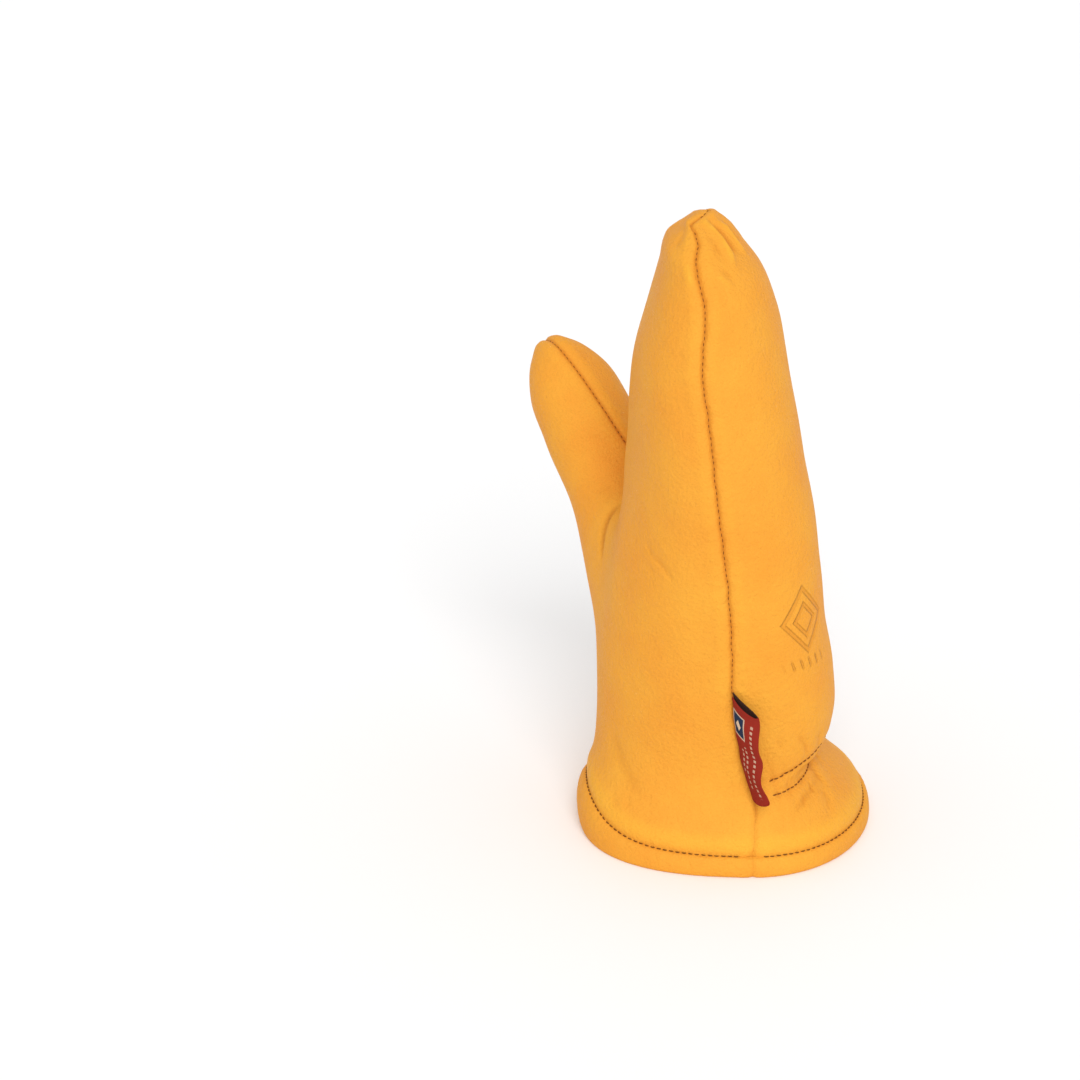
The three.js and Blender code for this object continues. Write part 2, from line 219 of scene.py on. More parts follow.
@dataclass
class HandForm:
    """The mitten's outer face as a function of two parameters, across and along each panel."""

    height: float = 246.5
    wrist_height: float = 32.0
    cuff_width: float = 115.0
    cuff_breadth: float = 110.0
    hand_thickness: float = 94.0
    hand_breadth: float = 96.0
    thumb_length: float = 115.0
    thumb_width: float = 40.0
    thumb_thickness: float = 38.0
    fullness: float = 0.92
    block_low: float = 0.215
    block_high: float = 0.555
    block_start: dict[Side, float] = field(default_factory=lambda: {Side.PALM: 0.42, Side.BACK: 0.66})
    block_blend: float = 0.62
    thumb_root: tuple[float, float, float] = (-0.73, 0.33, 0.329)
    thumb_to_bend: tuple[float, float, float] = (-0.011, 0.342, 0.293)
    thumb_to_tip: tuple[float, float, float] = (-0.336, 0.598, 0.769)
    seam_facing_root: tuple[float, float, float] = (1.00, -0.29, -0.47)
    seam_facing_tip: tuple[float, float, float] = (-0.10, -0.85, 1.07)

    def __post_init__(self) -> None:
        """Turns the tables of shares into curves of real lengths."""
        def sized(row: Section, floor: float, tall: float, wide: float, broad: float) -> list[float]:
            """One section in millimetres."""
            return [floor + row.rise * tall, row.palm * wide / 2, row.back * wide / 2,
                    row.near * broad / 2, row.far * broad / 2, row.seam * wide / 2,
                    row.index * wide / 2, row.turn * broad / 2]

        cuff = [sized(r, 0.0, self.wrist_height, self.cuff_width, self.cuff_breadth)
                for r in CUFF_SECTIONS]
        hand_height = self.height - self.wrist_height
        hand = [sized(r, self.wrist_height, hand_height, self.hand_thickness, self.hand_breadth)
                for r in HAND_SECTIONS]
        self.body_curve = TableCurve(np.array(cuff + hand), even=[0, 7], measured=(0, 3))
        thumb = [[r.reach * self.thumb_length, r.across * self.thumb_width / 2,
                  r.deep * self.thumb_thickness / 2] for r in THUMB_SECTIONS]
        self.thumb_curve = TableCurve(np.array(thumb), even=[0], measured=(0, 1))
        root = np.array(self.thumb_root) * [self.hand_thickness / 2, self.hand_breadth / 2, self.height]
        self.root = root
        self.bend = root + self.thumb_length * np.array(self.thumb_to_bend)
        self.tip = root + self.thumb_length * np.array(self.thumb_to_tip)

    def body(self, side: Side, across: Array, along: Array) -> Array:
        """Half of a level section: a superellipse over the chord that joins the two seams.

        Args:
            side: the panel.
            across: 0 at the little finger's seam, 1 at the thumb's seam.
            along: 0 at the cuff's edge, 1 at the fingertips.

        Returns:
            Points in millimetres.
        """
        z, palm, back, near, far, seam, index, turn = self.body_curve.at(along)
        c = np.cos(np.pi * across)
        s = np.clip(np.sin(np.pi * across), 0.0, None)
        chord = seam + (index - seam) * (1 - c) / 2
        depth = (palm if side is Side.PALM else back) - (seam + index) / 2
        x = chord + depth * s ** self.fullness
        y = (far + near) / 2 - (far - near) / 2 * np.sign(c) * np.abs(c) ** self.fullness
        y = y + turn * s * s * (-1 if side is Side.PALM else 1)
        return np.stack([x, y, z], axis=-1)

    def thumb(self, side: Side, share: Array, turned: Array) -> Array:
        """Half of the thumb: an elliptical tube along a quadratic curve, closed at its tip.

        Args:
            side: the panel.
            share: 0 at the thumb's root, 1 at its tip.
            turned: angle round the tube, 0 in the middle of the side, a quarter turn at each seam.

        Returns:
            Points in millimetres.
        """
        reach, across, deep = self.thumb_curve.at(share)
        t = np.minimum(reach / self.thumb_length, 1.0)[..., None]
        axis = (1 - t) ** 2 * self.root + 2 * t * (1 - t) * self.bend + t ** 2 * self.tip
        tangent = unit((1 - t) * (self.bend - self.root) + t * (self.tip - self.bend))
        facing = (1 - t) * np.array(self.seam_facing_root) + t * np.array(self.seam_facing_tip)
        finger = unit(facing - (facing * tangent).sum(-1, keepdims=True) * tangent)
        outward = np.cross(tangent, finger) * (-1 if side is Side.PALM else 1)
        return (axis + (across * np.sin(turned))[..., None] * finger
                + (deep * np.cos(turned))[..., None] * outward)

    def skin(self, side: Side, across: Array, along: Array) -> Array:
        """The whole outer face of a panel.

        Beside the thumb's seam, a square of the panel is drawn as half a disc by x√(1 - y²/2) and
        y√(1 - x²/2). Its rim stays on the body, its radii run up the thumb, its centre is the
        thumb's tip, and the body blends into the thumb with the distance from the rim.

        Args:
            side: the panel.
            across: 0 at the little finger's seam, 1 at the thumb's seam.
            along: 0 at the cuff's edge, 1 at the fingertips.

        Returns:
            Points in millimetres.
        """
        base = self.body(side, across, along)
        middle = (self.block_low + self.block_high) / 2
        x = np.clip((1 - across) / (1 - self.block_start[side]), 0.0, 1.0)
        y = np.clip((along - middle) * 2 / (self.block_high - self.block_low), -1.0, 1.0)
        disc_x = x * np.sqrt(1 - y * y / 2)
        disc_y = y * np.sqrt(1 - x * x / 2)
        outside = (x >= 1) | (np.abs(y) >= 1)
        radius = np.where(outside, 1.0, np.minimum(np.hypot(disc_x, disc_y), 1.0))
        tube = self.thumb(side, 1 - radius, np.arctan2(disc_y, disc_x))
        blend = eased((1 - radius) / self.block_blend)[..., None]
        return base + blend * (tube - base)

    def outward(self, side: Side, across: Array, along: Array) -> Array:
        """Outward normals by central differences.

        At a seam both panels share the direction from palm to back, so they share the normal too.

        Args:
            side: the panel.
            across: 0 at the little finger's seam, 1 at the thumb's seam.
            along: 0 at the cuff's edge, 1 at the fingertips.

        Returns:
            Vectors of length 1.
        """
        step = 1e-3
        inside = np.clip(across, step, 1 - step)
        over = unit(self.skin(side, inside + step, along) - self.skin(side, inside - step, along))
        shared = unit(self.skin(Side.BACK, inside, along) - self.skin(Side.PALM, inside, along))
        up = self.skin(side, across, along + step) - self.skin(side, across, along - step)
        at_seam = (across < step) | (across > 1 - step)
        normal = unit(np.cross(np.where(at_seam[..., None], shared, over), up))
        flipped = np.where(at_seam, across > 0.5, side is Side.PALM)
        return np.where(flipped[..., None], -normal, normal)

    def along_at(self, heights: Array) -> Array:
        """How far along the body the given heights lie."""
        t = np.linspace(0.0, 1.0, 4001)
        return np.interp(heights, self.body_curve.at(t)[0], t)


@dataclass(frozen=True)
class Fold:
    """A fold, pleat, dent or wrinkle: a groove or ridge along a curve on one panel.

    Args:
        side: the panel that it is on.
        path: its ends and bends, as pairs of across and along.
        lift: how far it stands out, in millimetres; a valley's is negative.
        width: half its width, in millimetres.
        shoulder: how much of the lift the leather beside it takes back.
    """

    side: Side
    path: tuple[tuple[float, float], ...]
    lift: float
    width: float
    shoulder: float = 0.3


FOLDS = (
    # Round the fingertips, where the panels are eased into the seam.
    Fold(Side.BACK, ((0.06, 0.975), (0.186, 0.953), (0.239, 0.936), (0.242, 0.906), (0.21, 0.885)),
         1.75, 1.8, 0.3),
    Fold(Side.BACK, ((0.22, 0.962), (0.28, 0.930), (0.32, 0.902)), -1.2, 2.4, 0.2),
    Fold(Side.BACK, ((0.10, 0.950), (0.15, 0.925), (0.16, 0.900)), -0.6, 2.0, 0.2),
    Fold(Side.BACK, ((0.30, 0.975), (0.375, 0.945), (0.385, 0.910), (0.39, 0.890)), 1.1, 1.8),
    Fold(Side.BACK, ((0.46, 0.955), (0.47, 0.905)), -0.9, 2.4),
    Fold(Side.BACK, ((0.085, 0.878), (0.11, 0.867), (0.145, 0.855)), 0.9, 1.6),
    Fold(Side.BACK, ((0.13, 0.888), (0.165, 0.870)), -0.6, 1.6),
    Fold(Side.BACK, ((0.60, 0.945), (0.60, 0.900)), 0.6, 2.6),
    Fold(Side.BACK, ((0.80, 0.950), (0.78, 0.895)), -0.9, 2.2),
    Fold(Side.PALM, ((0.09, 0.893), (0.05, 0.860)), 0.9, 2.0),
    Fold(Side.PALM, ((0.25, 0.950), (0.22, 0.912)), -0.6, 2.4),
    Fold(Side.PALM, ((0.80, 0.950), (0.80, 0.900)), -0.8, 2.2),
    Fold(Side.PALM, ((0.60, 0.945), (0.62, 0.905)), 0.5, 2.6),
    # Above the cuff, at the side of the palm.
    Fold(Side.PALM, ((0.41, 0.180), (0.34, 0.137), (0.285, 0.112), (0.23, 0.088)), -0.8, 5.5, 0.4),
    Fold(Side.PALM, ((0.335, 0.084), (0.31, 0.066)), -0.6, 0.9),
    Fold(Side.PALM, ((0.29, 0.094), (0.27, 0.074)), -0.4, 0.9),
    # The crease between hand and thumb, and the fine ones beside it.
    Fold(Side.PALM, ((0.67, 0.470), (0.63, 0.440), (0.60, 0.415), (0.575, 0.392), (0.545, 0.365)),
         -1.2, 1.7, 0.1),
    Fold(Side.PALM, ((0.660, 0.430), (0.685, 0.445), (0.725, 0.461)), -0.45, 0.8),
    Fold(Side.PALM, ((0.685, 0.430), (0.710, 0.444), (0.745, 0.458)), -0.40, 0.8),
    Fold(Side.PALM, ((0.640, 0.400), (0.625, 0.385)), -0.35, 0.9),
    # Across the side of the palm.
    Fold(Side.PALM, ((0.305, 0.482), (0.262, 0.463), (0.228, 0.458)), -0.55, 1.3),
    Fold(Side.PALM, ((0.245, 0.468), (0.21, 0.452), (0.167, 0.434)), -0.55, 1.5),
    Fold(Side.PALM, ((0.285, 0.450), (0.25, 0.440)), -0.35, 1.1),
    Fold(Side.PALM, ((0.25, 0.495), (0.20, 0.475)), 0.3, 1.4),
    # At the wrist, above and below the sewn rows.
    Fold(Side.BACK, ((0.096, 0.205), (0.110, 0.181)), -0.6, 2.0),
    Fold(Side.BACK, ((0.150, 0.205), (0.196, 0.180), (0.217, 0.158)), -0.8, 1.7),
    Fold(Side.BACK, ((0.158, 0.183), (0.180, 0.165)), -0.5, 1.0),
    Fold(Side.BACK, ((0.26, 0.195), (0.28, 0.160)), -0.7, 1.8),
    Fold(Side.BACK, ((0.35, 0.112), (0.26, 0.103), (0.186, 0.096), (0.10, 0.080)), -0.9, 2.6, 0.35),
    Fold(Side.BACK, ((0.335, 0.112), (0.308, 0.090)), -0.8, 1.0),
    Fold(Side.BACK, ((0.268, 0.114), (0.245, 0.096)), -0.6, 0.9),
    Fold(Side.BACK, ((0.205, 0.102), (0.17, 0.088)), -0.5, 0.9),
    Fold(Side.BACK, ((0.30, 0.100), (0.27, 0.078), (0.22, 0.060)), -0.7, 2.6),
    # Fine ones beside the little finger's seam.
    Fold(Side.BACK, ((0.045, 0.300), (0.10, 0.305)), -0.18, 0.8),
    Fold(Side.BACK, ((0.035, 0.275), (0.085, 0.281)), -0.18, 0.8),
    Fold(Side.BACK, ((0.050, 0.325), (0.11, 0.331)), -0.14, 0.9),
)


@dataclass
class Relief:
    """How far the leather stands out from the plain form, in millimetres."""

    valley_depth: float = 1.0
    valley_width: float = 1.15
    roll_height: float = 0.40
    roll_distance: float = 4.2
    roll_width: float = 2.8
    pucker_pitch: float = 5.2
    pucker_share: float = 0.22
    beat_length: float = 11.0
    beat_start: float = 0.7
    valley_pucker: float = 0.2
    foot_share: float = 0.6
    foot_height: float = 19.0
    foot_fade: float = 8.0
    gather_height: float = 33.0
    gather_reach: float = 8.5
    gather_pitch: float = 7.4
    gather_depth: float = 0.8
    gather_sharpness: float = 0.8
    gather_mean: float = 0.69
    gather_uneven: float = 0.35
    gather_stray: float = 0.8
    gather_lean: float = 40.0
    band_lift: float = 0.35
    band_width: float = 2.2
    row_heights: tuple[float, float] = (29.1, 34.0)
    row_rises: tuple[float, float] = (2.2, 10.0)
    row_depth: float = 0.75
    row_width: float = 1.2
    hem_height: float = 7.6
    hem_palm_rise: float = 9.0
    hem_palm_reach: float = 0.18
    swell_height: float = 1.0
    swell_middle: float = 4.5
    swell_width: float = 4.2
    swell_start: float = 1.6
    wobble: float = 0.22
    lump_heights: tuple[float, float, float] = (0.36, 0.32, 0.13)
    lump_mean: float = 0.25
    sway_reach: float = 13.0
    sway_stops: tuple[tuple[float, float], ...] = (
        (0, 1.8), (6, 0.8), (19, 0.8), (26, 2.0), (40, 0), (150, 0), (176, 0.6), (199, 0), (213, 1.1),
        (222, 0.8), (229, -0.7), (234, 0), (239, 1.7), (242, 0.6), (244, -2.0), (246, 0))

    def seam_roll(self, distance: Array, run: Array) -> Array:
        """A valley at a seam with a soft roll beside it, deeper and shallower along the seam.

        Args:
            distance: distance from the seam over the leather.
            run: distance along the seam.

        Returns:
            The lift.
        """
        beat = np.sin(2 * np.pi * run / self.pucker_pitch) * np.sin(run / self.beat_length + self.beat_start)
        pucker = 1 + self.pucker_share * beat
        depth = self.valley_depth * (1 - self.valley_pucker + self.valley_pucker * pucker)
        valley = -depth * bell(distance, self.valley_width)
        roll = self.roll_height * bell(distance - self.roll_distance, self.roll_width) * pucker
        return valley + roll

    def row_height(self, row: int, across: Array) -> Array:
        """Height of a sewn row of the wrist, which rises from each seam to the middle of the back.

        Args:
            row: 0 for the lower one, 1 for the upper one.
            across: shares across the back panel.

        Returns:
            Heights above the cuff's edge.
        """
        rise = np.sin(np.pi * across) ** 2
        return self.row_heights[row] + self.row_rises[row] * rise

    def gathers(self, across: Array, round_back: Array, height: Array) -> Array:
        """The elastic's pleats on the back of the wrist, and the two sewn rows that hold them.

        Pleats are |sin| waves of uneven pitch and depth round the wrist, which fade above and
        below it. Each row sinks in as a narrow bell, and the band between them swells out.

        Args:
            across: shares across the back panel.
            round_back: distance round the back from the little finger's seam.
            height: height above the cuff's edge.

        Returns:
            The lift.
        """
        lean = (height - self.gather_height) / self.gather_lean
        phase = (round_back / self.gather_pitch + self.gather_stray * np.sin(round_back / 11.0)
                 + lean * np.sin(round_back / 9.0))
        wave = np.abs(np.sin(np.pi * phase)) ** self.gather_sharpness - self.gather_mean
        uneven = 1 - self.gather_uneven + self.gather_uneven * np.sin(round_back / 6.3 + 1.0)
        lift = self.gather_depth * wave * uneven * bell(height - self.gather_height, self.gather_reach)
        rows = [height - self.row_height(k, across) for k in (0, 1)]
        for gap in rows:
            lift = lift - self.row_depth * bell(gap, self.row_width)
        return lift + self.band_lift * bell(sum(rows) / 2, self.band_width)

    def hem_top(self, side: Side, across: Array) -> Array:
        """Height of the hem's stitches: level on the back, and higher in the middle of the palm.

        Args:
            side: the panel.
            across: shares across it.

        Returns:
            Heights above the cuff's edge.
        """
        rise = self.hem_palm_rise if side is Side.PALM else 0.0
        return self.hem_height + rise * bell(across - 0.5, self.hem_palm_reach)

    def swell(self, above: Array) -> Array:
        """Above the hem's stitches the leather swells out, and the stitches draw it in again."""
        bow = bell(above - self.swell_middle, self.swell_width)
        return self.swell_height * bow * eased(above / self.swell_start)

    def sway(self, height: Array) -> Array:
        """How far the little finger's seam wanders to one side: a table with a fine wobble on it.

        Args:
            height: height above the cuff's edge.

        Returns:
            The shift from the palm towards the back.
        """
        wobble = self.wobble * np.sin(height / 1.9) * np.sin(height / 7.0 + 1.0)
        stops, shifts = np.transpose(self.sway_stops)
        return np.interp(height, stops, shifts) + wobble

    def lumps(self, points: Array) -> Array:
        """Soft unevenness: three products of long waves in different directions, added up.

        Args:
            points: places on the leather.

        Returns:
            The lift.
        """
        x, y, z = np.moveaxis(points, -1, 0)
        broad, tall, small = self.lump_heights
        return (broad * np.sin(x / 13.0 + 0.4) * np.sin(z / 21.0 + y / 31.0)
                + tall * np.sin(y / 11.0 + z / 27.0) * np.sin(z / 15.0 - x / 19.0 + 1.1)
                + small * np.sin(z / 6.5 + x / 7.5) * np.sin(y / 7.0 - z / 12.0) - self.lump_mean)


@dataclass
class MittenShell:
    """Both panels on fine grids, with their relief, normals and inner faces."""

    form: HandForm = field(default_factory=HandForm)
    relief: Relief = field(default_factory=Relief)
    leather: float = 1.6
    seam_gap: float = 0.3
    edge_gap: float = 0.04
    floor_height: float = 2.3
    columns: int = 156
    rows: tuple[int, int, int] = (50, 146, 84)
    crowding: float = 0.085
    crotch_centre: float = 0.55
    crotch_reach: float = 0.07
    crotch_softness: float = 10.0
    crotch_rows: int = 24
    crotch_side: float = 0.3
    fold_points: int = 13
    fold_taper: float = 2.6
    fold_end: float = 0.25
    fold_fade: float = 3.0
    shoulder_spread: float = 2.3
    gather_fade: float = 10.0
    lump_fade: float = 12.0
    lump_foot: float = 10.0
    tip_fade: float = 0.03

    def __post_init__(self) -> None:
        """Works out the grids: the plain form, its normals, the relief and both faces."""
        t = np.linspace(0.0, 1.0, self.columns + 1)
        self.across = t - self.crowding * np.sin(2 * np.pi * t)
        floor = float(self.form.along_at(np.array(self.floor_height)))
        stops = [floor, self.form.block_low, self.form.block_high, 1.0]
        self.along = stations(stops, list(self.rows))
        grid = np.meshgrid(self.across, self.along, indexing="ij")
        self.plain = {side: self.form.skin(side, *grid) for side in Side}
        self._soften_crotch()
        self._let_seam_wander()
        self.normals = self._normals(self.plain)
        self.creases = {side: self._creases(side) for side in Side}
        self.lift = {side: self.creases[side] + self._lumps(side) for side in Side}
        self.outer = {side: self.plain[side] + self.lift[side][..., None] * self.normals[side]
                      for side in Side}
        self._open_seams()
        self.faces_out = self._normals(self.outer)

    def _soften_crotch(self) -> None:
        """Rounds the corners of the seam between hand and thumb.

        Each point there moves to the bell-weighted mean of its neighbours in the same column.
        """
        reach = np.arange(-self.crotch_rows, self.crotch_rows + 1)
        weights = bell(reach, self.crotch_softness)
        weights = weights / weights.sum()
        level = bell(self.along - self.crotch_centre, self.crotch_reach)
        for side in Side:
            beside = eased((self.across - self.form.block_start[side]) / self.crotch_side)
            window = beside[:, None] * level
            points = self.plain[side]
            last = points.shape[1] - 1
            rows = np.clip(np.arange(last + 1) + reach[:, None], 0, last)
            mean = (weights[:, None, None, None] * points[:, rows].transpose(1, 0, 2, 3)).sum(0)
            self.plain[side] = points + window[..., None] * (mean - points)

    def _let_seam_wander(self) -> None:
        """Slides the leather sideways near the little finger's seam, fading with the distance."""
        for side in Side:
            points = self.plain[side]
            near, _ = self.distances(side)
            sway = self.relief.sway(points[..., 2]) * bell(near, self.relief.sway_reach)
            points[:, :-1, 0] += sway[:, :-1]

    def _normals(self, faces: dict[Side, Array]) -> dict[Side, Array]:
        """Outward normals of both panels, which agree where the panels meet.

        Args:
            faces: the points of each panel's grid.

        Returns:
            For each panel, the cross product of its slopes across and along, turned outwards.
        """
        slopes = {side: np.gradient(faces[side], axis=0) for side in Side}
        for edge, inside in ((0, 1), (-1, -2)):
            shared = faces[Side.BACK][inside] - faces[Side.PALM][inside]
            turn = 1 if edge == 0 else -1
            slopes[Side.BACK][edge] = turn * shared
            slopes[Side.PALM][edge] = -turn * shared
        result = {}
        for side in Side:
            up = np.gradient(faces[side], axis=1)
            normal = unit(np.cross(slopes[side], up))
            result[side] = -normal if side is Side.PALM else normal
            result[side][:, -1] = (0.0, 0.0, 1.0)
        return result

    def distances(self, side: Side) -> tuple[Array, Array]:
        """Distances over the leather from both seams, along each row.

        Args:
            side: the panel.

        Returns:
            The distances from the little finger's seam and from the thumb's seam.
        """
        steps = np.linalg.norm(np.diff(self.plain[side], axis=0), axis=-1)
        near = np.vstack([np.zeros(steps.shape[1]), np.cumsum(steps, axis=0)])
        return near, near[-1] - near

    def _fold(self, fold: Fold, points: Array) -> Array:
        """The lift of one fold: a bell over the distance to its curve, with shoulders taken back.

        Args:
            fold: the fold.
            points: the panel's grid.

        Returns:
            The lift at each point.
        """
        ends = np.array(fold.path)
        steps = np.linspace(0, len(ends) - 1, self.fold_points)
        pairs = [np.interp(steps, np.arange(len(ends)), ends[:, k]) for k in range(2)]
        spine = self.form.skin(fold.side, *pairs)
        shares = np.linspace(0.0, 1.0, len(spine))
        best = np.full(points.shape[:2], 1e9)
        place = np.zeros(points.shape[:2])
        for a, b, share, after in zip(spine, spine[1:], shares, shares[1:]):
            step = b - a
            t = np.clip(((points - a) @ step) / (step @ step), 0.0, 1.0)
            gap = np.linalg.norm(points - a - t[..., None] * step, axis=-1)
            place = np.where(gap < best, share + t * (after - share), place)
            best = np.minimum(best, gap)
        taper = eased(np.minimum(place, 1 - place) * self.fold_taper + self.fold_end)
        shoulders = fold.shoulder * bell(best, self.shoulder_spread * fold.width)
        return fold.lift * taper * (bell(best, fold.width) - shoulders)

    def _lumps(self, side: Side) -> Array:
        """The soft unevenness, which fades towards the seams and the cuff.

        Args:
            side: the panel.

        Returns:
            The lift at each point of the panel's grid.
        """
        points = self.plain[side]
        near, far = self.distances(side)
        above = eased((points[..., 2] - self.lump_foot) / self.lump_foot)
        window = eased(near / self.lump_fade) * eased(far / self.lump_fade) * above
        window[:, -1] = 0.0
        return self.relief.lumps(points) * window

    def _creases(self, side: Side) -> Array:
        """Seams, gathers, hem and folds: everything that has an edge to it, added up.

        Args:
            side: the panel.

        Returns:
            The lift at each point of the panel's grid.
        """
        points = self.plain[side]
        near, far = self.distances(side)
        run = np.vstack([np.zeros(points.shape[0]),
                         np.cumsum(np.linalg.norm(np.diff(points, axis=1), axis=-1), axis=1).T]).T
        height = points[..., 2]
        relief = self.relief
        pole = eased((1 - self.along[None, :]) / self.tip_fade)
        above = eased((height - relief.foot_height) / relief.foot_fade)
        sewn = relief.foot_share + (1 - relief.foot_share) * above
        lift = (relief.seam_roll(near, run[:1]) + relief.seam_roll(far, run[-1:])) * pole * sewn
        across = self.across[:, None]
        lift = lift + relief.swell(height - relief.hem_top(side, across))
        if side is Side.BACK:
            window = eased(near / self.gather_fade) * eased(far / self.gather_fade)
            lift = lift + relief.gathers(across, near, height) * window
        for fold in FOLDS:
            if fold.side is side:
                lift = lift + self._fold(fold, points) * eased(near / self.fold_fade)
        lift[:, -1] = -relief.valley_depth
        return lift

    def _open_seams(self) -> None:
        """Sets the panels' edges back from each other by half of the hairline between them."""
        for edge in (0, -1):
            inside = 1 if edge == 0 else -2
            over = unit(self.plain[Side.BACK][inside] - self.plain[Side.PALM][inside])
            over[-1] = (1.0, 0.0, 0.0)
            self.outer[Side.PALM][edge] -= over * self.edge_gap / 2
            self.outer[Side.BACK][edge] += over * self.edge_gap / 2
        for side in Side:
            self.outer[side][:, -1] = self.outer[side][0, -1]

    def inner(self, side: Side) -> Array:
        """The inner face: the leather's thickness inside the outer one."""
        return self.outer[side] - self.leather * self.normals[side]

    def seam_line(self, seam: Seam) -> tuple[Array, Array]:
        """The middle of a seam.

        Args:
            seam: which seam.

        Returns:
            Points from the cuff to the fingertips, and the normals there.
        """
        edge = seam.value
        middle = (self.outer[Side.PALM][edge] + self.outer[Side.BACK][edge]) / 2
        return middle, self.normals[Side.BACK][edge]

    def sample(self, side: Side, across: Array, along: Array) -> tuple[Array, Array]:
        """Points and normals of a panel's face between its grid points, by bilinear weights.

        Args:
            side: the panel.
            across: shares across the panel.
            along: shares along the panel.

        Returns:
            The points and the normals.
        """
        i = np.clip(np.searchsorted(self.across, across) - 1, 0, len(self.across) - 2)
        j = np.clip(np.searchsorted(self.along, along) - 1, 0, len(self.along) - 2)
        s = ((across - self.across[i]) / (self.across[i + 1] - self.across[i]))[:, None]
        t = ((along - self.along[j]) / (self.along[j + 1] - self.along[j]))[:, None]

        def mixed(g: Array) -> Array:
            """The four corners' values, weighted.

            Args:
                g: a value or vector at each point of the grid.

            Returns:
                The values at the places asked for.
            """
            low = g[i, j] * (1 - s) + g[i + 1, j] * s
            high = g[i, j + 1] * (1 - s) + g[i + 1, j + 1] * s
            return low * (1 - t) + high * t

        return mixed(self.outer[side]), unit(mixed(self.faces_out[side]))


class Placer:
    """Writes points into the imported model's frame as Blender meshes."""

    def __init__(self, shift: Array) -> None:
        """Keeps the step from the mitten's own axes to the model's frame, in millimetres."""
        self.shift = shift

    def place(self, points: Array) -> Array:
        """Points in metres in the model's frame."""
        return (points + self.shift) * MM

    def piece(self, name: str, points: Array, quads: Array,
              triangles: Array | None = None) -> bpy.types.Object:
        """Makes an object at the origin from whole arrays.

        Args:
            name: the piece's name.
            points: vertices in millimetres.
            quads: four vertex numbers for each face.
            triangles: three vertex numbers for each further face.

        Returns:
            The object, smooth shaded, with its sharp edges marked.
        """
        tri = np.zeros((0, 3), int) if triangles is None else triangles
        mesh = bpy.data.meshes.new(name)
        mesh.vertices.add(len(points))
        mesh.vertices.foreach_set("co", self.place(points).astype(np.float32).ravel())
        loops = np.concatenate([quads.ravel(), tri.ravel()]).astype(np.int32)
        sizes = np.concatenate([np.full(len(quads), 4), np.full(len(tri), 3)]).astype(np.int32)
        mesh.loops.add(len(loops))
        mesh.loops.foreach_set("vertex_index", loops)
        mesh.polygons.add(len(sizes))
        starts = np.concatenate([[0], np.cumsum(sizes)[:-1]]).astype(np.int32)
        mesh.polygons.foreach_set("loop_start", starts)
        mesh.polygons.foreach_set("use_smooth", np.ones(len(sizes), bool))
        mesh.update(calc_edges=True)
        mesh.validate()
        mesh.set_sharp_from_angle(angle=np.radians(SHARP_DEGREES))
        obj = bpy.data.objects.new(name, mesh)
        bpy.context.collection.objects.link(obj)
        return obj


def store_value(obj: bpy.types.Object, name: str, values: Array) -> None:
    """Stores one number at each vertex, as an attribute that a material can read."""
    layer = obj.data.attributes.new(name, "FLOAT", "POINT")
    layer.data.foreach_set("value", values.astype(np.float32).ravel())


def closed_quads(wide: int, tall: int, wrap_wide: bool, wrap_tall: bool) -> Array:
    """Faces of a grid whose points are numbered row by row.

    Args:
        wide: points in a row.
        tall: number of rows.
        wrap_wide: whether each row closes on itself.
        wrap_tall: whether the last row meets the first.

    Returns:
        Four vertex numbers for each face, in the order (i, j), (i + 1, j), (i + 1, j + 1), (i, j + 1).
    """
    i = np.arange(wide if wrap_wide else wide - 1)
    j = np.arange(tall if wrap_tall else tall - 1)
    i, j = np.meshgrid(i, j, indexing="ij")
    a, b = (i + 1) % wide, (j + 1) % tall
    return np.stack([j * wide + i, j * wide + a, b * wide + a, b * wide + i], axis=-1).reshape(-1, 4)


